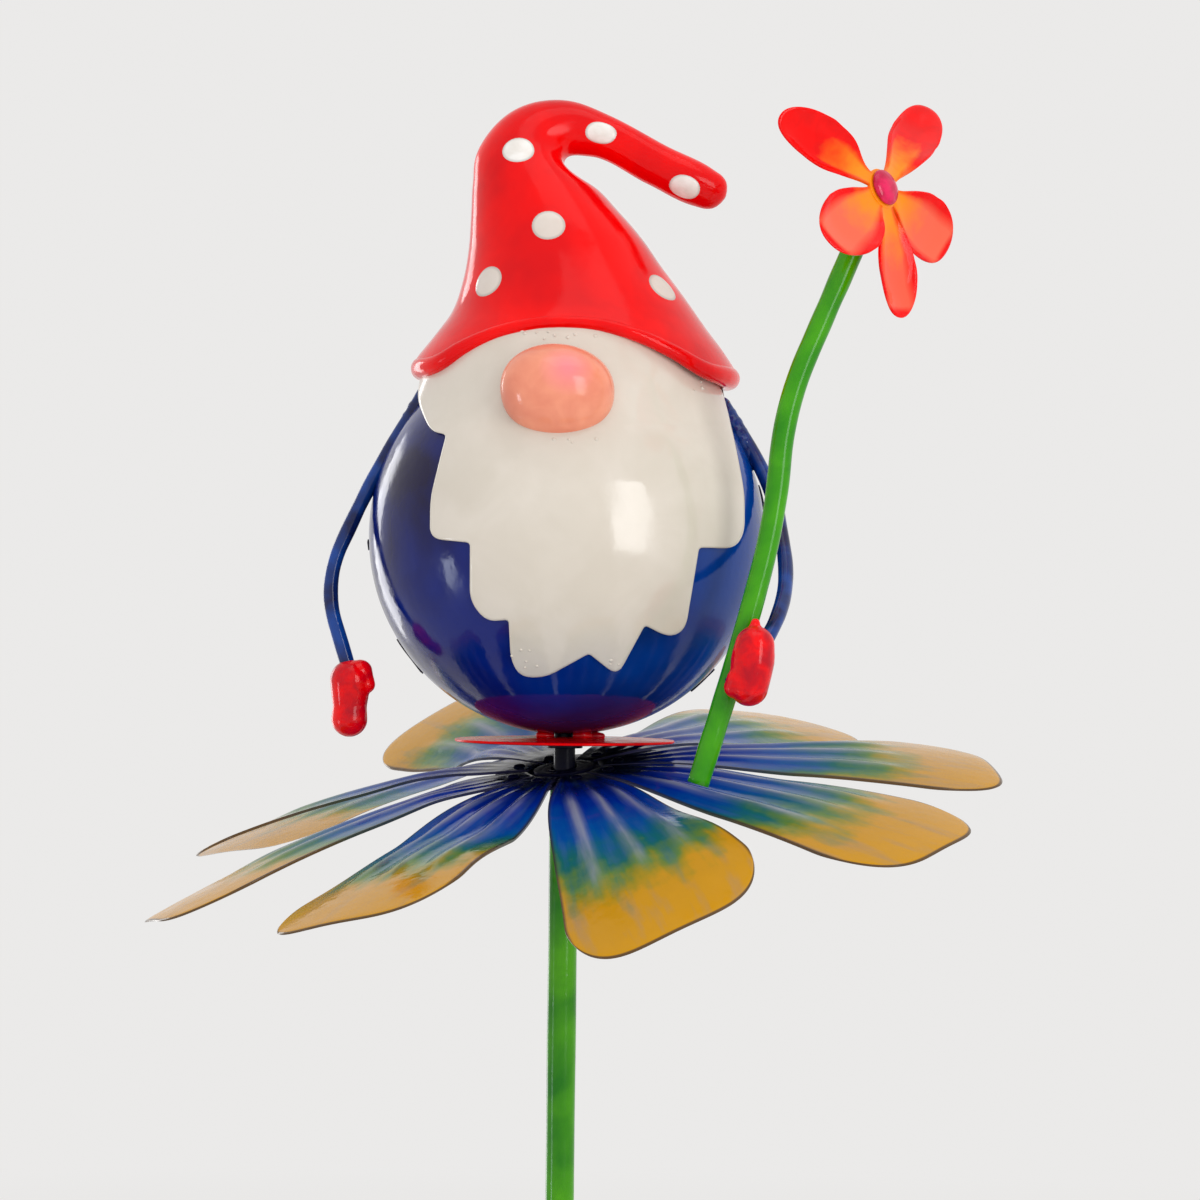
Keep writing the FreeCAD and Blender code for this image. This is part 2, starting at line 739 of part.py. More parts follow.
def make_hat_support():
    """The hidden post and disc that hold the hat above the ball."""
    hub = size("hub_height")
    ball_top = hub + size("ball_above_hub") + size("ball_radius")
    disc_bottom = hub + size("hat_disc_height")
    post = primitive("Cylinder", "Stub_hat_support_post", Radius=size("hat_post_radius"),
                     Height=disc_bottom - ball_top + 2.0)
    bind(post, "Placement.Base.z", ball_top - 2.0)
    ball = primitive("Sphere", "Ball_hat_support_post", Radius=size("ball_radius"))
    bind(ball, "Placement.Base.z", hub + size("ball_above_hub"))
    cut("hat_support_post", post, ball)
    disc = primitive("Cylinder", "Disc_hat_support", Radius=size("hat_disc_radius"),
                     Height=size("hat_disc_thickness"))
    bind(disc, "Placement.Base.z", disc_bottom)
    disc.Label = "hat_support_disc"


# ---------------------------------------------------------------- arms, gloves, held flower

def make_glove(label, glove, route):
    """A mitten: a hand and a thumb, bored for the arm's wire."""
    roll = Rotation(Vector(0, 1, 0), glove["roll"])
    place = Placement(at_hub(*glove["at"]), roll)
    hand = capsule("Hand_" + label, "glove_half_length", "glove_half_width", place)
    thumb = primitive("Sphere", "Thumb_" + label,
                      place.multiply(Placement(Vector(*glove["thumb"]), Rotation())),
                      Radius=size("thumb_radius"))
    mitten = fuse("Mitten_" + label, [hand, thumb])
    before = at_hub(*route[-2])
    wire_end = at_hub(*route[-1])
    along = (wire_end - before).normalize()
    bore_start = wire_end - along * GLOVE_BORE_LENGTH
    bore = primitive("Cylinder", "Bore_" + label, Placement(bore_start, from_z(along)),
                     Radius=size("arm_radius"))
    bore.Height = GLOVE_BORE_LENGTH
    if label == "right_glove":
        mitten = cut("", mitten, bore)
        lower, upper = at_hub(*STEM_ROUTE[0]), at_hub(*STEM_ROUTE[1])
        groove = primitive("Cylinder", "Groove_" + label,
                           Placement(lower, from_z(upper - lower)),
                           Radius=size("stem_radius") + WELD_GAP)
        groove.Height = 2 * GLOVE_BORE_LENGTH
        bore = groove
    cut(label, mitten, bore)


def make_arms():
    for label, route in (("left_arm_rod", LEFT_ARM_ROUTE), ("right_arm_rod", RIGHT_ARM_ROUTE)):
        ball = primitive("Sphere", "Cope_" + label, Radius=size("ball_radius"))
        bind(ball, "Placement.Base.z", size("hub_height") + size("ball_above_hub"))
        bent_rod(label, route, "arm_radius", "arm_bend_radius", ball)
    make_glove("left_glove", LEFT_GLOVE, LEFT_ARM_ROUTE)
    make_glove("right_glove", RIGHT_GLOVE, RIGHT_ARM_ROUTE)


def flower_placement():
    return Placement(at_hub(*FLOWER_AT), from_z(FLOWER_FACE))


def make_stem():
    """The stem's top is cut flush with the back of the flower's washer."""
    back = Placement(Vector(0, 0, -number("flower_thickness")), Rotation())
    beyond = primitive("Cylinder", "Cope_flower_stem", flower_placement().multiply(back),
                       Radius=size("flower_petal_length"))
    beyond.Height = 20.0
    bent_rod("flower_stem", STEM_ROUTE, "stem_radius", "stem_bend_radius", beyond)


def make_flower():
    """Five petals on one disc, riveted to a washer on the stem's end."""
    facing = flower_placement()
    thickness = size("flower_thickness")
    head = new_body("flower_head")
    disc = new_sketch(head, "XY_Plane")
    add_circle(disc, size("flower_disc_radius"))
    add_circle(disc, size("flower_rivet_radius"))
    pad(head, disc, thickness)
    document.recompute()
    width = size("flower_petal_half_width")
    root = size("flower_petal_root")
    start = size("flower_disc_radius") - 2.0
    for angle, share in FLOWER_PETALS:
        length = size("flower_petal_length") * share
        turn = Placement(Vector(), Rotation(Vector(0, 0, 1), angle))
        leaf = new_sketch(head, "XY_Plane", turn)
        side = [(start, root), (length * 0.4, width * 0.7), (length * 0.6, width),
                (length * 0.85, width * 0.85), (length, width * 0.35)]
        mirrored = [(along, -across) for along, across in side[::-1]]
        add_loop(leaf, side + mirrored)
        pad(head, leaf, thickness)
        document.recompute()
    head.Placement = facing
    turned("flower_back_washer",
           ring_profile(size("flower_rivet_radius"), size("flower_washer_radius"), -thickness, 0.0),
           placement=facing)
    rivet = size("flower_rivet_radius")
    button = size("flower_rivet_head")
    turned("flower_center_rivet", [
        (0.0, -thickness), (rivet, -thickness), (rivet, thickness), (button, thickness),
        (button * 0.7, thickness + 1.4), (0.0, thickness + 2.0),
    ], placement=facing)


# ---------------------------------------------------------------- checks and export

def node_objects():
    """The labelled sub-parts: every object whose label is not its internal name."""
    nodes = []
    for item in document.Objects:
        is_node = item.Label != item.Name and hasattr(item, "Shape")
        if is_node and item.TypeId.startswith(("PartDesign::Body", "Part::")):
            nodes.append(item)
    return nodes


def export_parts():
    document.recompute()
    for item in document.Objects:
        if "Invalid" in item.State or "Error" in item.State:
            raise RuntimeError(f"{item.Name} ({item.Label}) failed: {item.State}")
    os.makedirs("parts", exist_ok=True)
    nodes = node_objects()
    for item in nodes:
        shape = item.Shape
        if shape.isNull() or not shape.isValid() or shape.Volume < SHAPE_TOLERANCE:
            raise RuntimeError(f"{item.Label} has no valid solid")
        shape.exportStep(f"parts/{item.Label}.step")
    print(len(nodes), "parts written")


document = FreeCAD.newDocument("GnomeSpinner")
make_sheet()
make_stake()
make_wheel()
make_disc()
make_ball()
make_beard()
make_nose()
make_hat()
make_hat_support()
make_arms()
make_stem()
make_flower()
export_parts()
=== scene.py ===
"""Looks of the gnome wind-spinner stake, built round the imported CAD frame.

Shapes are worked out in millimetres in the row frame: +Z up, the gnome faces -Y.
"""

import json
import math
import random

import bpy
import numpy as np
from mathutils import Matrix, Vector, noise
from mathutils.bvhtree import BVHTree

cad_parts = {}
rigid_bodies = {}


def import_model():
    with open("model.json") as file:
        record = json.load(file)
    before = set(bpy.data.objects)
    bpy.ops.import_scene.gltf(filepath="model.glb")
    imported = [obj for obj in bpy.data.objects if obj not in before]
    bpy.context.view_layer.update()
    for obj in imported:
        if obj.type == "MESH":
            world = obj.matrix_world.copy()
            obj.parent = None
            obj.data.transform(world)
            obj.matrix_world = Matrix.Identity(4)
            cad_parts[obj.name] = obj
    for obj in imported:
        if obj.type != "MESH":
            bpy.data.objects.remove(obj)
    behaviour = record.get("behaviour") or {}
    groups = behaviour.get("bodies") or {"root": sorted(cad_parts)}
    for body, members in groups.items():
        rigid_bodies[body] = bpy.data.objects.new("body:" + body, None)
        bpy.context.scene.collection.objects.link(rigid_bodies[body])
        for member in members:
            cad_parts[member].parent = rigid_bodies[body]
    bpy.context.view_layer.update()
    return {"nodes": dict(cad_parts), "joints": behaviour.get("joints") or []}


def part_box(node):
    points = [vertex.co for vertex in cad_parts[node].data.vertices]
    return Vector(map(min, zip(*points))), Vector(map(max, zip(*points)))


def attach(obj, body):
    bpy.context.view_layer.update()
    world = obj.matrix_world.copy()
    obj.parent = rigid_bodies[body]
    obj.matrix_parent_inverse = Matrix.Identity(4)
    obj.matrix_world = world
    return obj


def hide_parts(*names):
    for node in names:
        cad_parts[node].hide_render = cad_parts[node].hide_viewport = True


for leftover in list(bpy.data.objects):
    bpy.data.objects.remove(leftover)
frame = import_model()

MM = 0.001
random.seed(7)
# Cells of noise to a millimetre, for the unevenness of each surface; the ball's are to its radius.
ROD_CELLS, TUBE_CELLS, BEARD_CELLS, HAT_CELLS, BALL_CELLS = 0.12, 0.035, 0.07, 0.045, 2.2

# ---------------------------------------------------------------- places, from the frame

wheel_joint = frame["joints"][0]
HUB = np.array(wheel_joint["pos_m"]) / MM
WHEEL_AXIS = Vector(wheel_joint["axis"])


def span(node):
    """Lowest and highest corner of a CAD node in millimetres."""
    low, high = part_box(node)
    return np.array(low) / MM, np.array(high) / MM


ball_low, ball_high = span("ball_front_shell")
BALL_RADIUS = (ball_high[0] - ball_low[0]) / 2
BALL_CENTRE = np.array([0.0, 0.0, (ball_low[2] + ball_high[2]) / 2])
SHEET = 0.8


# ---------------------------------------------------------------- mesh helpers

def add_piece(name, points, faces, layers=None):
    """A smooth mesh from points in millimetres, with number layers for its material."""
    mesh = bpy.data.meshes.new(name)
    mesh.from_pydata((np.asarray(points, float) * MM).tolist(), [], faces)
    for layer, values in (layers or {}).items():
        flat = np.asarray(values, float).ravel()
        mesh.attributes.new(layer, "FLOAT", "POINT").data.foreach_set("value", flat)
    mesh.shade_smooth()
    piece = bpy.data.objects.new(name, mesh)
    bpy.context.scene.collection.objects.link(piece)
    return piece


def grid_faces(rows, columns, closed=False, loop=False):
    """Quads of a grid of points that run row by row.

    Closed joins the last column to the first, loop the last row to the first.
    """
    faces = []
    for row in range(rows if loop else rows - 1):
        start, above = row * columns, (row + 1) % rows * columns
        for column in range(columns if closed else columns - 1):
            following = (column + 1) % columns
            faces.append((start + column, start + following, above + following, above + column))
    return faces


def skin(name, rings, first=None, last=None, loop=False):
    """A surface through closed rings. First and last are end points, loop joins the ends."""
    rings = np.asarray(rings, float)
    rows, columns = rings.shape[:2]
    points = list(rings.reshape(-1, 3))
    faces = grid_faces(rows, columns, closed=True, loop=loop)
    for end, ring, turned in ((first, 0, True), (last, rows - 1, False)):
        if end is None:
            continue
        points.append(end)
        for column in range(columns):
            corner, following = ring * columns + column, ring * columns + (column + 1) % columns
            pair = (following, corner) if turned else (corner, following)
            faces.append((*pair, len(points) - 1))
    return add_piece(name, points, faces)


def subdivide(piece):
    step = piece.modifiers.new("Subdivision", "SUBSURF")
    step.levels = step.render_levels = 1


def thicken(piece, thickness):
    """Give a sheet its thickness, half to each side, and round its edges."""
    step = piece.modifiers.new("Thickness", "SOLIDIFY")
    step.thickness = thickness * MM
    step.offset = 0.0
    subdivide(piece)


def join(name, pieces):
    """One piece from several, their modifiers applied."""
    for piece in pieces:
        bpy.context.view_layer.update()
        settled = piece.evaluated_get(bpy.context.evaluated_depsgraph_get())
        piece.data = bpy.data.meshes.new_from_object(settled)
        piece.modifiers.clear()
    with bpy.context.temp_override(active_object=pieces[0], selected_editable_objects=pieces):
        bpy.ops.object.join()
    pieces[0].name = name
    return pieces[0]


def softened(corners, reach, closed=False, steps=5):
    """A line of points with each corner replaced by a small curve.

    Reach is how far before and after the corner the curve starts, one number or one a corner.
    It is kept just under half of the side, so neighbouring curves never meet.
    """
    corners = np.asarray(corners, float)
    count = len(corners)
    reaches = np.broadcast_to(np.asarray(reach, float), (count,))
    inner = range(count) if closed else range(1, count - 1)
    points = [] if closed else [corners[0]]
    for index in inner:
        corner = corners[index]
        before = corners[index - 1] - corner
        after = corners[(index + 1) % count] - corner
        sides = []
        for side in (before, after):
            length = np.linalg.norm(side)
            sides.append(corner + side / length * min(reaches[index], 0.48 * length))
        for t in np.linspace(0, 1, steps):
            points.append((1 - t) ** 2 * sides[0] + 2 * t * (1 - t) * corner + t ** 2 * sides[1])
    if not closed:
        points.append(corners[-1])
    return np.array(points)


def distances(points):
    """How far along a line of points each of them lies."""
    return np.concatenate([[0], np.cumsum(np.linalg.norm(np.diff(points, axis=0), axis=1))])


def evenly(points, gap, closed=False):
    """The same line with its points about gap apart."""
    if closed:
        points = np.vstack([points, points[:1]])
    lengths = distances(points)
    count = max(3, int(round(lengths[-1] / gap)) + 1)
    at = np.linspace(0, lengths[-1], count)
    line = np.stack([np.interp(at, lengths, points[:, axis]) for axis in range(points.shape[1])], 1)
    return line[:-1] if closed else line


def through(knots, values, at):
    """Smooth interpolation of numbers, or rows of numbers, given at the knots."""
    knots, values = np.asarray(knots, float), np.asarray(values, float)
    slopes = np.gradient(values, knots, axis=0)
    at = np.clip(np.asarray(at, float), knots[0], knots[-1])
    index = np.clip(np.searchsorted(knots, at, side="right") - 1, 0, len(knots) - 2)
    gap = knots[index + 1] - knots[index]
    t = (at - knots[index]) / gap
    if values.ndim > 1:
        gap, t = gap[..., None], t[..., None]
    return ((1 + 2 * t) * (1 - t) ** 2 * values[index] + t * (1 - t) ** 2 * gap * slopes[index]
            + t * t * (3 - 2 * t) * values[index + 1] + t * t * (t - 1) * gap * slopes[index + 1])


def smooth_step(low, high, value):
    t = np.clip((value - low) / (high - low), 0, 1)
    return t * t * (3 - 2 * t)


def crowding(first, count):
    """Shares from first to 1 that lie closer and closer together."""
    return 1 - (1 - np.linspace(first, 1, count)) ** 1.6


def circle(count):
    """Unit circle points, as cosines and sines."""
    turn = np.linspace(0, 2 * math.pi, count, endpoint=False)
    return np.cos(turn), np.sin(turn)


def leaf_grid(stations, tip, roundness, rows, columns):
    """A petal laid out flat, from its half widths at distances from the middle and its tip's distance.

    Returns shares along and across it, its outline's distances, its points' distances and the
    half width at each.
    """
    knots, widths = zip(*stations)
    root, wide = knots[0], knots[-1]
    along = np.linspace(0, 1, rows)[:, None]
    across = np.sin(np.linspace(-0.5, 0.5, columns) * math.pi)[None, :]
    outline = wide + (tip - wide) * np.sqrt(1 - np.abs(across) ** roundness)
    out = root + along * (outline - root)
    return along, across, outline, out, through(knots, widths, np.minimum(out, wide))


def level_ring(radius, height, count):
    """Points of a level circle about the upright axis; radius may differ from point to point."""
    cosine, sine = circle(count)
    return np.stack([radius * cosine, radius * sine, np.full(count, height)], 1)


def ring_section(inner, outer, bottom, top):
    """Corners of a plain ring's section, for lathe."""
    return [(inner, bottom), (outer, bottom), (outer, top), (inner, top)]


def lathe(name, profile, soften=0.2, solid=False, place=None, count=64):
    """A turned piece from (radius, height) corners; a solid one's corners start and end on the axis."""
    outline = softened(profile, soften, closed=not solid)
    ends = (None, None)
    if solid:
        ends = [(0.0, 0.0, outline[end][1]) for end in (0, -1)]
        outline = outline[1:-1]
    rings = [level_ring(radius, height, count) for radius, height in outline]
    piece = skin(name, rings, *ends, loop=not solid)
    if place is not None:
        piece.data.transform(place)
    return piece


def tube(name, path, radius, wobble=0.0, count=28, ease=0.45):
    """A round rod along a path. Wobble varies its radius, ease softens the edges of its ends."""
    path = evenly(np.asarray(path, float), max(0.8, radius * 0.5))
    tangents = np.gradient(path, axis=0)
    tangents /= np.linalg.norm(tangents, axis=1)[:, None]
    side = np.cross(tangents[0], [0.0, 1.0, 0.0])
    if np.linalg.norm(side) < 0.1:
        side = np.cross(tangents[0], [1.0, 0.0, 0.0])
    cosine, sine = circle(count)
    narrowed = radius * ease * (1 - np.sin(np.radians([15, 45, 75])))
    rings = []
    for index, (centre, tangent) in enumerate(zip(path, tangents)):
        side = side - tangent * np.dot(side, tangent)
        across = side / np.linalg.norm(side)
        other = np.cross(tangent, across)
        if index == 0:
            steps = [(less / 2, radius - less) for less in narrowed]
        elif index == len(path) - 1:
            steps = [(-less / 2, radius - less) for less in narrowed[::-1]]
        else:
            steps = [(0.0, radius * (1 + wobble * noise.noise(Vector(centre) * ROD_CELLS)))]
        for shift, size in steps:
            ring = cosine[:, None] * across + sine[:, None] * other
            rings.append(centre + tangent * shift + size * ring)
    return skin(name, rings, path[0], path[-1])


def blob(name, balls, voxel=0.45, smoothing=8):
    """One smooth lump from overlapping balls of (centre, radius)."""
    points, faces = [], []
    rows, columns, pole_gap = 14, 24, 0.02
    polar = np.linspace(pole_gap, math.pi - pole_gap, rows)[:, None]
    cosine, sine = circle(columns)
    shell = np.stack([np.sin(polar) * cosine, np.sin(polar) * sine,
                      np.cos(polar) * np.ones(columns)], 2).reshape(-1, 3)
    for centre, radius in balls:
        first = len(points)
        points.extend(np.asarray(centre, float) + radius * shell)
        faces.extend(tuple(first + corner for corner in face)
                     for face in grid_faces(rows, columns, closed=True))
        faces.append(tuple(first + column for column in range(columns))[::-1])
        faces.append(tuple(first + (rows - 1) * columns + column for column in range(columns)))
    piece = add_piece(name, points, faces)
    remesh = piece.modifiers.new("Merge", "REMESH")
    remesh.mode = "VOXEL"
    remesh.voxel_size = voxel * MM
    remesh.use_smooth_shade = True
    relax = piece.modifiers.new("Relax", "SMOOTH")
    relax.factor = 0.5
    relax.iterations = smoothing
    return piece


def between(start, end, radii, count=7):
    """Balls in a row from start to end, their radii blended, for a blob."""
    share = np.linspace(0, 1, count)
    sizes = np.interp(share, np.linspace(0, 1, len(radii)), radii)
    start, end = np.asarray(start, float), np.asarray(end, float)
    return [(start + (end - start) * s, size) for s, size in zip(share, sizes)]


def surface_of(piece):
    """The finished surface of a piece, for laying paint spots on it. In metres."""
    bpy.context.view_layer.update()
    return BVHTree.FromObject(piece, bpy.context.evaluated_depsgraph_get())


FAR_IN_FRONT = 200.0
SPOT_SINK = 0.12


def spots(name, surface, places, towards, dome, rings=6, count=28):
    """Thin domed paint spots on a surface, each (x, z, half width, half height) in millimetres.

    They are laid along +Y or -Y, as towards is 1 or -1. A place beside the surface gets no spot.
    Every spot's rim sinks a little into the surface.
    """
    points, faces, shares = [], [], []
    cosine, sine = circle(count)
    for x, z, half_width, half_height in places:
        origin = Vector((x, -FAR_IN_FRONT * towards, z)) * MM
        hit, normal, _, _ = surface.ray_cast(origin, Vector((0, towards, 0)))
        if hit is None:
            continue
        if normal.y * towards > 0:
            normal = -normal
        side = Vector((0, 0, 1)).cross(normal).normalized()
        up = normal.cross(side)
        first = len(points)
        for row in range(rings + 1):
            share = row / rings
            height = dome * math.sqrt(max(0.0, 1 - share ** 2)) - SPOT_SINK * share ** 4
            for c, s in zip(cosine, sine):
                flat = hit + (side * c * half_width + up * s * half_height) * share * MM
                foot, foot_normal, _, _ = surface.find_nearest(flat)
                if foot_normal.dot(normal) < 0:
                    foot_normal = -foot_normal
                points.append(np.array(foot + foot_normal * height * MM) / MM)
                shares.append(share)
                if row == 0:
                    break
        for column in range(count):
            faces.append((first, first + 1 + (column + 1) % count, first + 1 + column))
        for face in grid_faces(rings, count, closed=True):
            faces.append(tuple(first + 1 + corner for corner in face))
    return add_piece(name, points, faces, {"share": shares})


def finish_piece(piece, paint, node=None, body="root"):
    """Paint a piece, set what it rides on and the CAD node it stands for."""
    piece.data.materials.clear()
    piece.data.materials.append(paint.material)
    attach(piece, body)
    if node:
        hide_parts(node)


def fill_box(name, node, bore, soften, paint):
    """A plain ring that fills its CAD node's box, round a bore."""
    low, high = span(node)
    piece = lathe(name, ring_section(bore, high[0], low[2], high[2]), soften)
    finish_piece(piece, paint, node)


# ---------------------------------------------------------------- materials

# Sockets of a Mix node that is set to colours.
MIX_A, MIX_B, MIX_RESULT = 6, 7, 2


class Paint:
    """A Principled material with short calls for its nodes. Colours are linear RGB."""

    def __init__(self, name, specular=0.5, metallic=0.0):
        self.material = bpy.data.materials.new(name)
        self.material.use_nodes = True
        self.tree = self.material.node_tree
        self.shader = self.tree.nodes["Principled BSDF"]
        self.shader.inputs["Specular IOR Level"].default_value = specular
        self.shader.inputs["Metallic"].default_value = metallic
        self.place = self.tree.nodes.new("ShaderNodeTexCoord").outputs["Object"]

    def set(self, socket, value):
        """Link a socket to a node's output, or write a number or colour into it."""
        if isinstance(value, bpy.types.NodeSocket):
            self.tree.links.new(value, socket)
        elif isinstance(value, (tuple, list)) and len(value) == 3 and socket.type == "RGBA":
            socket.default_value = (*value, 1.0)
        else:
            socket.default_value = value

    def node(self, kind, inputs, **settings):
        made = self.tree.nodes.new(kind)
        for key, value in settings.items():
            setattr(made, key, value)
        for key, value in inputs.items():
            self.set(made.inputs[key], value)
        return made

    def layer(self, name):
        return self.node("ShaderNodeAttribute", {}, attribute_name=name).outputs["Fac"]

    def maths(self, operation, a, b):
        return self.node("ShaderNodeMath", {0: a, 1: b}, operation=operation).outputs[0]

    def axis(self, name):
        """The place along X, Y or Z, in metres."""
        return self.node("ShaderNodeSeparateXYZ", {"Vector": self.place}).outputs[name]

    def grain(self, size, detail=2.0, at=None, distortion=0.0):
        """Noise whose features are about size millimetres wide."""
        return self.node("ShaderNodeTexNoise", {
            "Vector": self.place if at is None else at, "Scale": 1.0 / (size * MM),
            "Detail": detail, "Distortion": distortion}).outputs["Fac"]

    def swing(self, noise_value, reach):
        """Noise moved to lie about 0, times reach."""
        return self.maths("MULTIPLY", self.maths("SUBTRACT", noise_value, 0.5), reach)

    def ranged(self, value, low, high, to_low=0.0, to_high=1.0):
        return self.node("ShaderNodeMapRange", {
            "Value": value, "From Min": low, "From Max": high,
            "To Min": to_low, "To Max": to_high}).outputs["Result"]

    def mix(self, factor, a, b):
        made = self.node("ShaderNodeMix", {}, data_type="RGBA")
        self.set(made.inputs["Factor"], factor)
        self.set(made.inputs[MIX_A], a)
        self.set(made.inputs[MIX_B], b)
        return made.outputs[MIX_RESULT]

    def ramp(self, factor, stops):
        made = self.node("ShaderNodeValToRGB", {"Fac": factor})
        elements = made.color_ramp.elements
        while len(elements) < len(stops):
            elements.new(0.5)
        for element, (position, colour) in zip(elements, stops):
            element.position = position
            element.color = (*colour, 1.0)
        return made.outputs["Color"]

    def near(self, x, y, z, radius, softness):
        """1 close to a place given in millimetres, fading to 0 at the radius."""
        gap = self.node("ShaderNodeVectorMath", {0: self.place, 1: (x * MM, y * MM, z * MM)},
                        operation="DISTANCE").outputs["Value"]
        return self.ranged(gap, radius * MM * (1 - softness), radius * MM, 1.0, 0.0)

    def colour(self, value):
        self.set(self.shader.inputs["Base Color"], value)

    def colour_so_far(self):
        return self.shader.inputs["Base Color"].links[0].from_socket

    def gloss(self, low, high, size=9.0):
        """Roughness that drifts between low and high over patches of size millimetres."""
        self.set(self.shader.inputs["Roughness"], self.ranged(self.grain(size), 0.3, 0.7, low, high))

    def bump(self, *layers):
        """Paint relief from (size, depth) noises in millimetres, the finest last."""
        normal = None
        for size, depth in layers:
            inputs = {"Height": self.grain(size, detail=1.0), "Distance": depth * MM, "Strength": 1.0}
            if normal is not None:
                inputs["Normal"] = normal
            normal = self.node("ShaderNodeBump", inputs).outputs["Normal"]
        self.set(self.shader.inputs["Normal"], normal)


BRUSH_MARK, ORANGE_PEEL, SPECK = 2.6, 0.7, 0.5
PEEL_SHARE = 0.12
SPECK_STRENGTH = 0.35


def enamel(name, main, deep, roughness=(0.06, 0.2), patch=14.0, specular=0.4, relief=0.05):
    """Brushed-on gloss enamel: the coat is thinner in places, with a faint orange peel."""
    paint = Paint(name, specular=specular)
    drift = paint.ranged(paint.grain(patch, detail=3.0, distortion=0.4), 0.36, 0.66)
    specks = paint.ranged(paint.grain(SPECK, detail=4.0), 0.62, 0.8)
    coat = paint.mix(drift, main, deep)
    paint.colour(paint.mix(paint.maths("MULTIPLY", specks, SPECK_STRENGTH), coat, deep))
    paint.gloss(*roughness)
    paint.bump((BRUSH_MARK, relief), (ORANGE_PEEL, relief * PEEL_SHARE))
    return paint


def plated_steel():
    paint = Paint("zinc_plated_steel", metallic=1.0)
    paint.colour(paint.mix(paint.grain(3.0, detail=4.0), (0.55, 0.55, 0.56), (0.36, 0.37, 0.38)))
    paint.gloss(0.25, 0.45, size=2.0)
    paint.bump((0.4, 0.01))
    return paint


# Colours of a wheel petal by distance from its tip, in millimetres: ochre, green, teal, blue, then near
# black at the root, which is painted shade under the disc.
PETAL_COLOURS = [
    (0, (0.60, 0.285, 0.002)), (20, (0.56, 0.27, 0.002)), (27, (0.33, 0.24, 0.006)),
    (34, (0.10, 0.20, 0.035)), (43, (0.010, 0.13, 0.12)), (58, (0.001, 0.075, 0.32)),
    (78, (0.0, 0.022, 0.30)), (93, (0.0, 0.010, 0.17)), (100, (0.0, 0.001, 0.02)),
]
# The crest colour is a painted highlight; the dark rim is partly bare edge and partly painted shade.
THIN_COAT, CREST_HIGHLIGHT, DARK_RIM = (0.10, 0.19, 0.30), (0.36, 0.36, 0.40), (0.03, 0.025, 0.03)


def petal_paint():
    """Translucent enamel over steel, streaked lengthwise, with painted highlights on the flutes,
    painted shade near the root, and a dark rim that is partly bare edge and partly painted shade.
    """
    paint = Paint("petal_enamel", specular=0.15)
    to_tip, across, along = paint.layer("to_tip"), paint.layer("across"), paint.layer("along")
    lengthwise = paint.node("ShaderNodeCombineXYZ", {
        "X": paint.maths("MULTIPLY", across, 5.0), "Y": paint.maths("MULTIPLY", along, 0.035),
        "Z": paint.layer("number")}).outputs[0]
    streaks = paint.grain(1.0 / MM, detail=3.0, at=lengthwise)
    depth = paint.maths("ADD", to_tip, paint.swing(streaks, 26.0))
    depth = paint.maths("ADD", depth, paint.swing(paint.grain(9.0, detail=3.0), 22.0))
    longest = PETAL_COLOURS[-1][0]
    stops = [(distance / longest, colour) for distance, colour in PETAL_COLOURS]
    body = paint.ramp(paint.ranged(depth, 0.0, longest), stops)
    thin_coat_and_lit_side = paint.ranged(streaks, 0.52, 0.72, 0.0, 0.25)
    body = paint.mix(thin_coat_and_lit_side, body, THIN_COAT)
    # Painted highlight: pale grey-blue along the flute crests.
    crest_highlight = paint.maths("MULTIPLY", paint.layer("crest"), paint.ranged(streaks, 0.3, 0.6, 0.05, 0.7))
    body = paint.mix(crest_highlight, body, CREST_HIGHLIGHT)
    # Dark at the rim and tip: partly the bare edge, partly painted shade of the petal's lower edge.
    rim = paint.maths("MINIMUM", to_tip, paint.layer("to_edge"))
    paint.colour(paint.mix(paint.ranged(rim, 0.25, 1.0, 0.85, 0.0), body, DARK_RIM))
    paint.gloss(0.07, 0.22, size=7.0)
    paint.bump((3.5, 0.10), (0.8, 0.01))
    return paint


GREY_DOTS_BELOW, WHITE_DOTS_ABOVE = 150.0, 158.0


def dot_paint():
    """White high on the hat, warmer and greyer low on it, with a thin painted shade at each dot's rim.
    """
    paint = enamel("dot_white_enamel", (0.90, 0.88, 0.85), (0.80, 0.76, 0.71), patch=4.0)
    low = paint.ranged(paint.axis("Z"), (HUB[2] + GREY_DOTS_BELOW) * MM,
                       (HUB[2] + WHITE_DOTS_ABOVE) * MM, 0.8, 0.0)
    white = paint.mix(low, paint.colour_so_far(), (0.68, 0.59, 0.52))
    # Painted shade round the rim of each dot.
    rim = paint.ranged(paint.layer("share"), 0.74, 0.92, 0.0, 0.65)
    paint.colour(paint.mix(rim, white, (0.36, 0.31, 0.29)))
    return paint


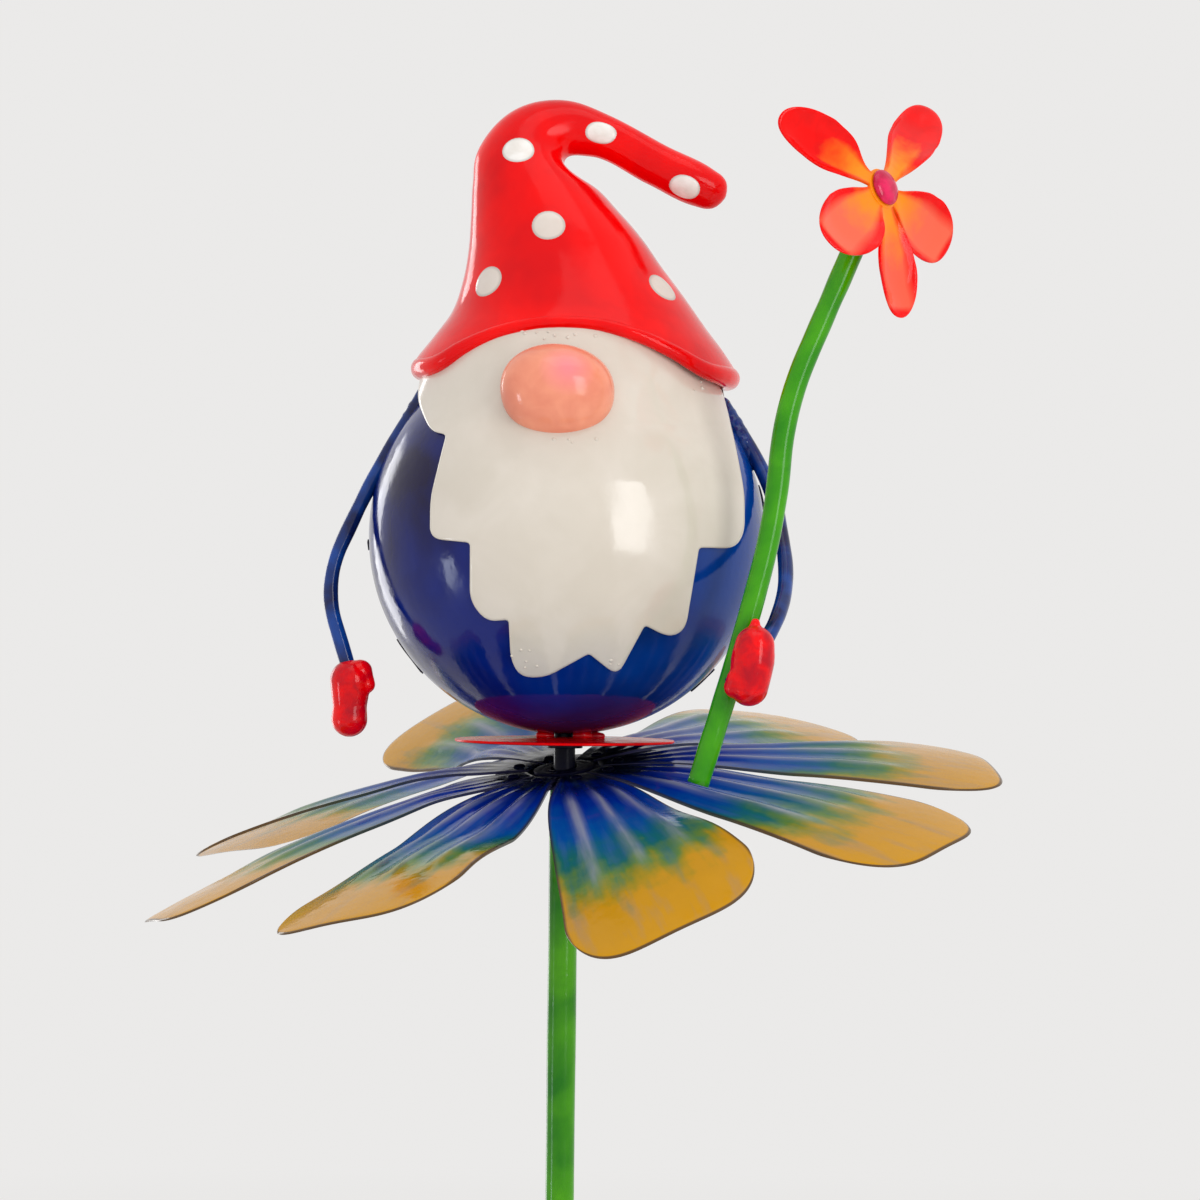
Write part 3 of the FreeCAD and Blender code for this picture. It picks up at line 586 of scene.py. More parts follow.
def make_materials():
    return {
        "stake": enamel("stake_green_enamel", (0.07, 0.34, 0.002), (0.012, 0.17, 0.003), patch=22.0,
                        specular=0.25),
        "stem": enamel("stem_green_enamel", (0.055, 0.35, 0.0), (0.02, 0.24, 0.0), patch=12.0,
                       specular=0.3),
        "black": enamel("spindle_black_enamel", (0.003, 0.003, 0.022), (0.001, 0.001, 0.005),
                        roughness=(0.2, 0.4), specular=0.1),
        "steel": plated_steel(),
        "hat": enamel("hat_red_enamel", (0.95, 0.0, 0.0), (0.68, 0.0, 0.003), patch=26.0,
                      specular=0.2),
        "glove": enamel("glove_red_enamel", (0.90, 0.0, 0.002), (0.48, 0.0, 0.01), patch=5.0,
                        specular=0.25),
        "arm": enamel("arm_blue_enamel", (0.003, 0.05, 0.28), (0.003, 0.004, 0.05), patch=9.0),
        "beard": enamel("beard_white_enamel", (0.72, 0.66, 0.58), (0.67, 0.61, 0.525), patch=17.0,
                        specular=0.6, relief=0.035),
        "dot": dot_paint(),
        "petal": petal_paint(),
        "nose": enamel("nose_salmon_enamel", (0.92, 0.34, 0.21), (0.82, 0.26, 0.16), patch=9.0),
    }


# ---------------------------------------------------------------- stake and spindle

STAKE_POINT_LENGTH = 18.0
RUNNING_GAP = 0.1


def make_stake(paint):
    """Rod, collar and tube of the stake, and the spindle and washer on top of it."""
    rod_low, rod_high = span("lower_stake_rod")
    tube_low, tube_high = span("upper_stake_tube")
    spindle_low, spindle_high = span("spindle_rod")
    rod, spindle = rod_high[0], spindle_high[0]
    shoulder = span("stake_stop_collar")[0][2]
    tip, blunting = rod * 0.12, 0.3
    piece = lathe("stake_rod", [
        (0.0, rod_low[2]), (tip, rod_low[2] + blunting), (rod, rod_low[2] + STAKE_POINT_LENGTH),
        (rod, shoulder), (spindle, shoulder), (spindle, rod_high[2]), (0.0, rod_high[2]),
    ], soften=0.5, solid=True)
    finish_piece(piece, paint["stake"], "lower_stake_rod")
    fill_box("stake_collar", "stake_stop_collar", spindle, 0.5, paint["stake"])
    piece = painted_tube("stake_tube", tube_high[0], spindle + 0.05, tube_low[2], tube_high[2])
    finish_piece(piece, paint["stake"], "upper_stake_tube")
    piece = lathe("spindle", [
        (0.0, spindle_low[2]), (spindle, spindle_low[2]), (spindle, spindle_high[2]),
        (0.0, spindle_high[2])], soften=0.4, solid=True)
    finish_piece(piece, paint["black"], "spindle_rod")
    fill_box("spindle_washer", "thrust_washer", spindle, 0.25, paint["steel"])


def painted_tube(name, outer, inner, bottom, top):
    """A long tube whose painted wall is very slightly uneven."""
    columns, step, unevenness = 40, 4.0, 0.08
    inner_edge, outer_edge = inner + 0.1, outer - 0.2
    cosine, sine = 0.8 * np.array(circle(columns))
    rings = [level_ring(radius, bottom, columns) for radius in (inner, inner_edge, outer_edge)]
    for height in np.arange(bottom, top, step)[1:]:
        wave = [noise.noise(Vector((c, s, height * TUBE_CELLS))) for c, s in zip(cosine, sine)]
        rings.append(level_ring(outer + unevenness * np.array(wave), height, columns))
    rings += [level_ring(outer_edge, top, columns), level_ring(inner_edge, top, columns),
              level_ring(inner, top - 0.1, columns)]
    return skin(name, rings, loop=True)


# ---------------------------------------------------------------- wheel

HUB_PLATE_TOP = -0.4
# Each petal is bent by hand outside a radius: angle on the wheel, that radius, its twist in
# degrees and its added slope.
PETALS = [
    (12.9, 60.0, 16.4, 0.01), (-29.5, 60.0, 11.6, 0.14), (-71.5, 30.0, 12.5, -0.02),
    (-122.0, 30.0, 10.1, -0.09), (-163.7, 60.0, -21.0, 0.29), (143.0, 60.0, 10.5, 0.07),
    (96.5, 60.0, 2.9, 0.05), (54.5, 60.0, 0.8, 0.04),
]
# Half width of a petal at distances from the wheel's axis.
PETAL_STATIONS = [(9.5, 3.0), (20.0, 7.0), (33.0, 11.8), (66.0, 19.5), (98.0, 26.0)]
PETAL_TIP = 121.0
PETAL_FLAT = 20.0
PETAL_SLOPE, PETAL_CURL = 0.03, 0.0016
PETAL_CAMBER, CAMBER_GROWS = 2.0, (26.0, 60.0)
TWIST_GROWS = (0.65, 1.5)
FLUTE_PLACES = (-0.52, 0.0, 0.52)
FLUTE_WIDTH, FLUTE_HEIGHT = 0.115, 1.15
FLUTE_RISES, FLUTE_FADES = (20.0, 42.0), (82.0, 97.0)
STREAK_SHIFT = 3.7
RIVET_CIRCLE = 15.0


def wheel_matrix():
    """From the wheel's own level frame, in metres, to its lean on the spindle."""
    lean = Vector((0, 0, 1)).rotation_difference(WHEEL_AXIS).to_matrix().to_4x4()
    return Matrix.Translation(Vector(HUB * MM)) @ lean


def petal_points(bent_from, pitch, lift, rows=33, columns=49):
    """The petal's mid-surface in its own frame: x outwards, y across, z up. Also its layers."""
    _, across, outline, radius, half = leaf_grid(PETAL_STATIONS, PETAL_TIP, 4, rows, columns)
    reach = np.maximum(radius - PETAL_FLAT, 0)
    drop = PETAL_SLOPE * reach + PETAL_CURL * reach ** 2
    relief = lift * np.maximum(radius - bent_from, 0)
    relief -= PETAL_CAMBER * smooth_step(*CAMBER_GROWS, radius) * across ** 2
    rise = smooth_step(*FLUTE_RISES, radius) * (1 - smooth_step(*FLUTE_FADES, radius))
    crest = np.zeros_like(radius)
    for place in FLUTE_PLACES:
        flute = rise * np.exp(-((across - place) / FLUTE_WIDTH) ** 2)
        relief += FLUTE_HEIGHT * flute
        crest += flute ** 3
    turn = math.radians(pitch) * smooth_step(*(share * bent_from for share in TWIST_GROWS), radius)
    sideways = across * half
    aside = sideways * np.cos(turn) - relief * np.sin(turn)
    level = HUB_PLATE_TOP + SHEET / 2 - drop + sideways * np.sin(turn) + relief * np.cos(turn)
    layers = {
        "to_tip": outline - radius,
        "to_edge": half * (1 - np.abs(across)),
        "crest": crest,
        "across": np.broadcast_to(across, radius.shape),
        "along": radius,
    }
    return np.stack([radius, aside, level], 2), layers


def make_petals(paint):
    for index, (angle, *bend) in enumerate(PETALS):
        points, layers = petal_points(*bend)
        rows, columns = points.shape[:2]
        layers["number"] = np.full((rows, columns), index * STREAK_SHIFT)
        piece = add_piece(f"wheel_petal_{index + 1}", points.reshape(-1, 3),
                          grid_faces(rows, columns), layers)
        turn = Matrix.Rotation(math.radians(angle - 90.0), 4, "Z")
        piece.data.transform(wheel_matrix() @ turn)
        thicken(piece, SHEET)
        finish_piece(piece, paint["petal"], f"petal_{index + 1}", "wheel")


def make_hub(paint):
    """Bush, retaining ring, hub plate and domed rivets, all at the wheel's lean."""
    bore, sleeve, flange = 3.8, 6.0, 8.5
    bottom, flange_top, top = -2.3, -1.5, 0.5
    plate_bottom, plate_bore, plate_radius = flange_top + RUNNING_GAP, sleeve + 0.05, 20.0
    place = wheel_matrix()
    piece = lathe("wheel_bush", [
        (bore, bottom), (flange, bottom), (flange, flange_top), (sleeve, flange_top),
        (sleeve, top), (bore, top)], soften=0.15, place=place)
    finish_piece(piece, paint["black"], "hub_bush")
    section = ring_section(sleeve, flange, HUB_PLATE_TOP + RUNNING_GAP, top)
    piece = lathe("wheel_retaining_ring", section, soften=0.15, place=place)
    finish_piece(piece, paint["black"], "bush_retaining_ring")
    section = ring_section(plate_bore, plate_radius, plate_bottom, HUB_PLATE_TOP)
    piece = lathe("wheel_hub_plate", section, soften=0.25, place=place)
    finish_piece(piece, paint["black"], "hub_plate", "wheel")
    head, shank, rise = 1.9, 1.2, 0.7
    crown, shoulder = head * 0.62, rise * 0.85
    above, below = HUB_PLATE_TOP + SHEET, plate_bottom
    rivets = []
    for angle, *_ in PETALS:
        turn = math.radians(angle)
        at = Matrix.Translation(Vector((math.sin(turn), -math.cos(turn), 0)) * RIVET_CIRCLE * MM)
        rivets.append(lathe("rivet", [
            (0.0, below - rise), (crown, below - shoulder), (head, below), (shank, below),
            (shank, above), (head, above), (crown, above + shoulder), (0.0, above + rise),
        ], soften=0.4, solid=True, place=place @ at, count=20))
    finish_piece(join("wheel_rivets", rivets), paint["black"], "petal_rivets", "wheel")


# ---------------------------------------------------------------- disc and ball

def disc_paint():
    """Red above; near black below and at the bottom of the rim, as painted shade of the underside."""
    paint = enamel("disc_red_enamel_with_painted_shade_below", (0.95, 0.0, 0.0), (0.66, 0.0, 0.002), patch=16.0,
                   roughness=(0.15, 0.3), specular=0.06)
    # Painted shade: near black on the underside and the lower part of the rim.
    below = paint.ranged(paint.layer("height"), -0.75, -0.55, 1.0, 0.0)
    paint.colour(paint.mix(below, paint.colour_so_far(), (0.004, 0.003, 0.012)))
    return paint


def make_disc(paint):
    disc_low, disc_high = span("base_disc")
    spindle, flat = span("spindle_rod")[1][0], span("disc_support_ring")[1][0]
    radius, top = disc_high[0], disc_high[2]
    drop = top - disc_low[2] - SHEET

    def upper(out):
        """Height of the disc's upper face, flat in the middle and falling to its rim."""
        return top - drop * max(0.0, (out - flat) / (radius - flat))

    stations = [spindle, flat, 12.0, 18.0, 24.0, 28.0, radius]
    outline = [(out, upper(out)) for out in stations]
    outline += [(out, upper(out) - SHEET) for out in stations[::-1]]
    piece = lathe("base_disc_plate", outline, soften=0.3, count=96)
    heights = [vertex.co.z / MM - upper(vertex.co.xy.length / MM) for vertex in piece.data.vertices]
    piece.data.attributes.new("height", "FLOAT", "POINT").data.foreach_set("value", heights)
    finish_piece(piece, disc_paint(), "base_disc")
    fill_box("disc_ring", "disc_support_ring", spindle, 0.2, paint["black"])


SEAM_GROOVE_DEPTH, SEAM_GROOVE_WIDTH = 0.5, 0.8
# Weld tacks on the seam: angle round the ball in degrees, length.
BALL_TACKS = [(183.0, 3.0), (218.0, 12.0), (-46.0, 9.0), (11.0, 9.0), (95.0, 8.0)]
TACK_SUNK, TACK_RADIUS = 0.35, 0.75
# Weld lumps between the ball and the disc: across, depth, size.
FOOT_WELDS = [(-5.4, -5.0, 1.5), (5.0, -6.5, 1.7), (8.8, -4.5, 1.3), (-4.0, 7.0, 1.5)]
FOOT_HALF_LENGTH = 1.6


def ball_paint():
    """Navy enamel with painted reflections: near black in patches, and painted lighter towards one
    side.
    """
    # The near-black patches of the coat are painted reflections of dark surroundings.
    paint = enamel("navy_enamel", (0.0, 0.010, 0.17), (0.003, 0.0, 0.035), patch=38.0, specular=0.3)
    # Painted light: brighter blue towards +X, the side the window lights.
    across = paint.maths("ADD", paint.axis("X"), paint.swing(paint.grain(24.0), 0.08))
    thin_coat_and_lit_side = paint.ranged(across, -0.015, 0.050, 0.0, 0.85)
    paint.colour(paint.mix(thin_coat_and_lit_side, paint.colour_so_far(), (0.0, 0.050, 0.30)))
    return paint


def make_ball(paint):
    """Two pressed halves that roll in slightly at their joint, and the tacks that hold them."""
    blue = ball_paint()
    rows, columns, unevenness, even_near_seam = 48, 96, 0.22, 6.0
    polar = np.radians(90 * crowding(0.02, rows))
    cosine, sine = circle(columns)
    seam_gaps = (math.pi / 2 - polar) * BALL_RADIUS
    groove = SEAM_GROOVE_DEPTH * np.exp(-(seam_gaps / SEAM_GROOVE_WIDTH) ** 2)
    radii = BALL_RADIUS - groove - SHEET / 2
    for side, half in ((-1.0, "front"), (1.0, "rear")):
        rings = []
        for angle, radius, seam_gap in zip(polar, radii, seam_gaps):
            out = np.stack([np.sin(angle) * cosine, np.full(columns, side * np.cos(angle)),
                            np.sin(angle) * sine], 1)
            uneven = np.array([noise.noise(Vector(point) * BALL_CELLS) for point in out]) * unevenness
            uneven *= smooth_step(0.0, even_near_seam, seam_gap)
            rings.append(BALL_CENTRE + out * (radius + uneven)[:, None])
        piece = skin(f"ball_{half}", rings, first=BALL_CENTRE + [0, side * radii[0], 0])
        thicken(piece, SHEET)
        finish_piece(piece, blue, f"ball_{half}_shell")
    tacks = []
    for angle, length in BALL_TACKS:
        turn = math.radians(angle) + np.linspace(-0.5, 0.5, 7) * length / BALL_RADIUS
        on_seam = np.stack([np.cos(turn), np.zeros_like(turn), np.sin(turn)], 1)
        line = BALL_CENTRE + (BALL_RADIUS - TACK_SUNK) * on_seam
        tacks.append(tube("tack", line, TACK_RADIUS, wobble=0.5, count=12, ease=0.9))
    finish_piece(join("ball_seam_tacks", tacks), paint["black"])
    welds = []
    for across, depth, size in FOOT_WELDS:
        level = span("base_disc")[1][2] + size * 0.25
        row = between((across - FOOT_HALF_LENGTH, depth, level),
                      (across + FOOT_HALF_LENGTH, depth + 0.3, level), [size * 0.7, size, size * 0.7])
        welds.append(blob("foot", row, voxel=0.3, smoothing=4))
    finish_piece(join("ball_foot_welds", welds), paint["glove"])


# ---------------------------------------------------------------- beard and nose

# Outline of the beard in ball radii from the ball's centre: across, up.
BEARD_OUTLINE = [
    (-0.66, 0.97), (-0.75, 0.84), (-0.75, 0.66), (-0.67, 0.50), (-0.59, 0.48),
    (-0.66, 0.17), (-0.66, -0.03), (-0.46, -0.05), (-0.46, -0.33),
    (-0.38, -0.43), (-0.27, -0.42), (-0.26, -0.62), (-0.21, -0.70),
    (-0.09, -0.70), (0.12, -0.58), (0.26, -0.69), (0.39, -0.44),
    (0.51, -0.50), (0.59, -0.46), (0.65, -0.06), (0.83, -0.06),
    (0.88, 0.02), (0.88, 0.22), (0.82, 0.55), (0.77, 0.80),
    (0.68, 0.97), (0.48, 1.04), (-0.46, 1.04),
]
BEARD_MIDDLE = (0.0, 0.35)
BEARD_LOBE_REACH, BEARD_NOTCH_REACH = 3.4, 0.9
BEARD_STANDOFF = 0.6
BEARD_BEND, BEARD_TOP = 30.0, 58.0
BEARD_TOP_RADIUS = 34.5
BEARD_THICKNESS = 1.1
BEARD_UNEVENNESS = 0.35
# Groups of paint bubbles on the beard, from the ball's centre: middle (across, up), spread
# (across, up), count.
BEARD_BUBBLES = [
    ((-10.5, -33.5), (5.0, 2.5), 7), ((13.5, -34.0), (1.5, 1.8), 3), ((37.0, 42.0), (3.0, 4.0), 4),
    ((-6.0, 53.5), (15.0, 1.2), 9), ((2.0, 24.6), (6.0, 0.8), 5),
]
BUBBLE_SIZES = (0.35, 0.75)


def beard_radius(height):
    """Radius of the plate's mid-surface about the ball's upright axis."""
    radius = BALL_RADIUS + BEARD_STANDOFF
    round_part = np.sqrt(radius ** 2 - np.minimum(height, BEARD_BEND) ** 2)
    share = np.maximum(height - BEARD_BEND, 0) / (BEARD_TOP - BEARD_BEND)
    return round_part + share * (BEARD_TOP_RADIUS - round_part)


def corner_reaches(corners, outer, inner):
    """How far each corner is softened: outward ones by outer, notches by inner."""
    before = corners - np.roll(corners, 1, axis=0)
    after = np.roll(corners, -1, axis=0) - corners
    cross = before[:, 0] * after[:, 1] - before[:, 1] * after[:, 0]
    return np.where(cross * cross.sum() > 0, outer, inner)


def outward(edge):
    """Unit normals of a closed flat line, pointing away from its inside."""
    along = np.roll(edge, -1, axis=0) - np.roll(edge, 1, axis=0)
    normal = np.stack([along[:, 1], -along[:, 0]], 1)
    normal /= np.linalg.norm(normal, axis=1)[:, None]
    return normal * np.sign(((edge - edge.mean(axis=0)) * normal).sum())


def on_beard(flat, raised):
    """Points of the plate over flat (across, up) points, raised off its mid-surface."""
    across, up = flat[:, 0], flat[:, 1]
    wave = np.array([noise.noise(Vector((a * BEARD_CELLS, u * BEARD_CELLS, 3.0))) for a, u in flat])
    radius = beard_radius(up) + raised + wave * BEARD_UNEVENNESS
    return BALL_CENTRE + np.stack([across, -np.sqrt(np.maximum(radius ** 2 - across ** 2, 1.0)), up], 1)


def make_beard(paint):
    corners = np.array(BEARD_OUTLINE) * BALL_RADIUS
    reaches = corner_reaches(corners, BEARD_LOBE_REACH, BEARD_NOTCH_REACH)
    edge = evenly(softened(corners, reaches, closed=True, steps=7), 0.6, closed=True)
    normal = outward(edge)
    middle = np.array(BEARD_MIDDLE) * BALL_RADIUS
    half = BEARD_THICKNESS / 2
    rim = edge - normal * half
    shares = crowding(0.03, 34)
    rings = [on_beard(middle + (rim - middle) * share, half) for share in shares]
    for turn in np.radians([65, 40, 15, -15, -40, -65]):
        rings.append(on_beard(rim + normal * half * math.cos(turn), half * math.sin(turn)))
    rings += [on_beard(middle + (rim - middle) * share, -half) for share in shares[::-1]]
    centres = [on_beard(middle[None, :], side * half)[0] for side in (1, -1)]
    piece = skin("beard", rings, *centres)
    finish_piece(piece, paint["beard"], "beard_plate")
    bubbles = []
    for (across, up), (spread_across, spread_up), count in BEARD_BUBBLES:
        for _ in range(count):
            size = random.uniform(*BUBBLE_SIZES)
            bubbles.append((across + random.uniform(-spread_across, spread_across),
                            BALL_CENTRE[2] + up + random.uniform(-spread_up, spread_up), size, size))
    piece = spots("beard_paint_bubbles", surface_of(piece), bubbles, 1.0, dome=0.3, rings=3, count=12)
    finish_piece(piece, paint["beard"])


NOSE_HALF_WIDTH, NOSE_HALF_HEIGHT, NOSE_DEPTH = 15.3, 13.0, 12.4
NOSE_SUNK, NOSE_PRESSED = 0.2, 1.5
NOSE_DROOP, NOSE_END_DROP, NOSE_FULL_BELOW = 0.035, 0.5, 0.06


def make_nose(paint):
    """A rounded nose, fuller below, pressed flat where it meets the beard."""
    low, high = span("nose")
    across, _, up = (low + high) / 2
    face = -float(beard_radius(up - BALL_CENTRE[2])) - NOSE_SUNK
    cosine, sine = circle(64)
    rings = []
    for polar in np.linspace(0.04, math.pi - 0.04, 40):
        full = math.sin(polar) ** 0.93
        aside = -NOSE_HALF_WIDTH * math.cos(polar)
        height = NOSE_HALF_HEIGHT * full * sine * (1 - NOSE_FULL_BELOW * sine)
        depth = np.minimum(-NOSE_DEPTH * full * cosine, NOSE_PRESSED)
        rings.append(np.stack([np.full_like(sine, across + aside), face + depth,
                               up + height - aside * NOSE_DROOP], 1))
    ends = [(across + side * NOSE_HALF_WIDTH, face, up - side * NOSE_END_DROP) for side in (-1, 1)]
    piece = skin("gnome_nose", rings, *ends)
    subdivide(piece)
    nose = paint["nose"]
    # A painted pink highlight high on the nose, and painted shade on its lower left side.
    painted_highlight = nose.near(across + 3.0, face - NOSE_DEPTH, up + 6.0, 8.5, softness=0.8)
    colour = nose.mix(nose.maths("MULTIPLY", painted_highlight, 0.8), nose.colour_so_far(), (0.95, 0.24, 0.29))
    shade = nose.near(across - 15.0, face, up - 6.0, 11.0, softness=0.9)
    nose.colour(nose.mix(nose.maths("MULTIPLY", shade, 0.7), colour, (0.62, 0.17, 0.11)))
    finish_piece(piece, nose, "nose")


# ---------------------------------------------------------------- hat

# Sections from the brim to the tip, heights above the hub: centre across, centre up,
# half width, half depth, and the section's turn from level in degrees.
HAT_SECTIONS = np.array([
    (2.6, 104.0, 48.0, 46.5, 3.0), (2.6, 110.0, 45.5, 44.5, 3.0), (3.0, 117.5, 40.4, 39.8, 3.0),
    (2.7, 124.0, 35.6, 35.2, 3.0), (1.2, 133.0, 30.9, 30.2, 4.0), (-1.2, 142.0, 27.0, 26.0, 6.0),
    (-3.6, 150.0, 24.2, 23.0, 8.0), (-6.7, 158.5, 20.9, 19.4, 12.0), (-9.5, 167.0, 16.8, 15.2, 20.0),
    (-8.0, 174.0, 11.8, 10.8, 50.0), (-1.2, 177.4, 8.2, 7.9, 95.0), (8.0, 175.9, 6.3, 6.4, 116.0),
    (24.0, 168.0, 5.9, 6.0, 117.0), (37.5, 161.6, 5.6, 5.3, 117.0), (40.6, 160.2, 4.7, 4.2, 117.0),
    (42.3, 159.4, 2.6, 2.4, 117.0), (42.9, 159.2, 0.4, 0.4, 117.0),
])
HAT_PLACES = distances(HAT_SECTIONS[:, :2])
HAT_SHEET, HAT_THINNEST = 1.0, 0.3
HAT_UNEVENNESS, HAT_EVEN_NEAR_TIP = 0.5, 12.0
# The brim's arch: across, height above the hub of the middle of its rolled edge.
HAT_ARCH = [
    (-46.0, 110.6), (-38.0, 110.8), (-30.0, 115.0), (-21.0, 118.6), (-10.0, 121.0), (-1.0, 121.6),
    (9.0, 121.0), (20.0, 118.2), (31.0, 113.6), (39.0, 109.8), (49.0, 108.6),
]
BRIM_REACH = 40.0
BRIM_ROLL, BRIM_ROLL_GROWTH, BRIM_PROUD = 1.9, 1.3, 0.7
# Dots, the same on both halves, heights above the hub: across, up, half width, half height.
HAT_DOTS = [
    (-14.4, 170.3, 5.1, 4.3), (8.3, 176.1, 4.8, 3.7), (31.5, 161.2, 4.9, 4.4),
    (-5.7, 148.8, 5.1, 4.7), (-22.2, 133.5, 5.7, 4.8), (25.7, 132.7, 6.0, 4.8),
]


def hat_surface(place, turn, inset=0.0):
    """Points of the hat's skin at distances along its spine and turns round it."""
    section = np.moveaxis(through(HAT_PLACES, HAT_SECTIONS, place), -1, 0)
    across, up, half_width, half_depth, lean = section
    lean = np.radians(lean)
    out = (np.maximum(half_width, HAT_THINNEST) - inset) * np.cos(turn)
    depth = (np.maximum(half_depth, HAT_THINNEST) - inset) * np.sin(turn)
    return np.stack([across + out * np.cos(lean), depth, HUB[2] + up - out * np.sin(lean)], -1)


def hat_edge(turn):
    """Where the arched brim cuts each column of the hat."""
    places = np.linspace(0, BRIM_REACH, 400)
    points = hat_surface(places[:, None], turn[None, :])
    across, heights = zip(*HAT_ARCH)
    above = points[..., 2] >= HUB[2] + through(across, heights, points[..., 0])
    return places[np.argmax(above, axis=0)]


def brim_roll(half, rim):
    """The brim's rolled edge, fatter at the sides, as one lump along the hat's lower rim."""
    rim = evenly(rim, 1.1)
    out = np.stack([rim[:, 0] - rim[:, 0].mean(), rim[:, 1], np.zeros(len(rim))], 1)
    out /= np.linalg.norm(out, axis=1)[:, None]
    sizes = BRIM_ROLL + BRIM_ROLL_GROWTH * np.abs(out[:, 0]) ** 5
    middles = rim - out * (sizes - BRIM_PROUD)[:, None]
    return blob(f"brim_{half}", list(zip(middles, sizes)), voxel=0.5, smoothing=6)


def make_hat(paint):
    """Two pressed halves with a rolled brim, and the dots, the same on both halves."""
    rows, columns = 110, 61
    length = HAT_PLACES[-1]
    dots = [(across, HUB[2] + up, width, height) for across, up, width, height in HAT_DOTS]
    surfaces = []
    for half, start in (("front", math.pi), ("rear", 0.0)):
        turn = start + np.linspace(0, math.pi, columns)
        edge = hat_edge(turn)
        place = edge + np.linspace(0, 1, rows)[:, None] ** 1.15 * (length - edge)
        points = hat_surface(place, turn, inset=HAT_SHEET / 2)
        uneven = np.array([noise.noise(Vector(point) * HAT_CELLS) for point in points.reshape(-1, 3)])
        inside = np.sin(turn) ** 2 * smooth_step(0, HAT_EVEN_NEAR_TIP, length - place)
        points[..., 1] += HAT_UNEVENNESS * uneven.reshape(rows, columns) * inside
        piece = add_piece(f"hat_{half}", points.reshape(-1, 3), grid_faces(rows, columns))
        thicken(piece, HAT_SHEET)
        piece = join(f"hat_{half}", [piece, brim_roll(half, points[0])])
        finish_piece(piece, paint["hat"], f"hat_{half}_shell")
        surfaces.append(surface_of(piece))
    for surface, half, towards in zip(surfaces, ("front", "rear"), (1.0, -1.0)):
        piece = spots(f"hat_dots_{half}", surface, dots, towards, dome=0.35)
        finish_piece(piece, paint["dot"])


# ---------------------------------------------------------------- arms, gloves, held flower

# Routes and places as across, depth, height above the hub.
ARM_ROUTES = {
    "left": [(-39.0, -0.8, 105.5), (-53.5, -3.0, 81.0), (-67.0, -8.0, 51.0), (-59.6, -12.0, 28.0)],
    "right": [(43.2, 0.0, 101.5), (56.6, -10.0, 79.0), (60.4, -32.0, 53.0), (55.2, -52.8, 38.5),
              (44.0, -57.2, 25.2)],
}
ARM_RADIUS = 2.0
# The weld at a shoulder: where it starts and ends as shares of the arm's first stretch, its radii
# and its shift towards the body.
SHOULDER_WELD, SHOULDER_RADII = (0.02, 0.72), [2.9, 3.1, 2.9, 2.2]
SHOULDER_IN, SHOULDER_BACK = 0.9, 0.6
# Lobes of the mittens: start, end, radii from start to end, number of balls.
MITTENS = {
    "left": [((-58.9, -12.0, 24.2), (-59.1, -12.0, 13.6), [5.7, 5.2, 4.7, 5.0], 9),
             ((-56.2, -12.6, 26.6), (-54.6, -12.8, 23.2), [3.4, 2.9, 2.6], 4)],
    "right": [((50.3, -57.4, 35.4), (48.9, -57.4, 24.6), [5.3, 5.9, 5.6, 5.2], 9),
              ((46.2, -58.4, 26.4), (45.2, -58.0, 24.4), [3.4, 3.0], 3),
              ((50.2, -57.0, 38.5), (50.4, -56.6, 41.4), [2.2, 1.3], 3)],
}
STEM_ROUTE = [
    (35.9, -50.0, -1.6), (47.2, -50.0, 36.0), (55.6, -50.0, 69.0), (57.9, -50.0, 99.0),
    (82.1, -48.0, 156.2),
]
FLOWER_AT = (83.2, -49.3, 157.0)
FLOWER_FACE = Vector((0.74, -0.61, 0.29))


def above_hub(route):
    return np.asarray(route, float) + [0, 0, HUB[2]]


def make_arms(paint):
    """The two arm wires, each with its weld at the shoulder."""
    for side, route in ARM_ROUTES.items():
        route = above_hub(route)
        piece = tube(f"{side}_arm", softened(route, 13.0, steps=12), ARM_RADIUS, wobble=0.09)
        finish_piece(piece, paint["arm"], f"{side}_arm_rod")
        start, stretch = route[0], route[1] - route[0]
        shift = [-SHOULDER_IN * np.sign(start[0]), SHOULDER_BACK, 0]
        weld_start, weld_end = (start + stretch * share + shift for share in SHOULDER_WELD)
        weld = blob(f"{side}_shoulder_weld", between(weld_start, weld_end, SHOULDER_RADII))
        finish_piece(weld, paint["arm"])


def make_gloves(paint):
    for side, lobes in MITTENS.items():
        balls = [(above_hub(centre), size) for lobe in lobes for centre, size in between(*lobe)]
        piece = blob(f"{side}_mitten", balls, voxel=0.4, smoothing=5)
        finish_piece(piece, paint["glove"], f"{side}_glove")


# Half width of a flower petal at distances from the flower's middle.
FLOWER_STATIONS = [(2.0, 2.4), (7.0, 3.4), (13.0, 6.0), (18.0, 7.9), (22.5, 8.5)]
FLOWER_TIP = 36.0
FLOWER_DISH, FLOWER_TIP_DISH, FLOWER_BEND = 2.3, 1.7, 0.155
FLOWER_LAYERS = ("out", "rim", "salmon")
# Angle on the flower's face, twist of the blade, both in degrees, then shares of the full
# length and width, and how salmon the blade is.
FLOWER_PETALS = [
    (24.0, 36.0, 0.90, 0.95, 0.9), (88.0, -38.0, 1.30, 0.80, 0.0), (202.0, -34.0, 1.08, 0.75, 0.0),
    (263.0, 14.0, 0.84, 1.1, 0.9), (319.0, 4.0, 0.98, 0.88, 0.7),
]


def flower_matrix():
    facing = Vector((0, 0, 1)).rotation_difference(FLOWER_FACE.normalized()).to_matrix().to_4x4()
    return Matrix.Translation(Vector(above_hub(FLOWER_AT) * MM)) @ facing


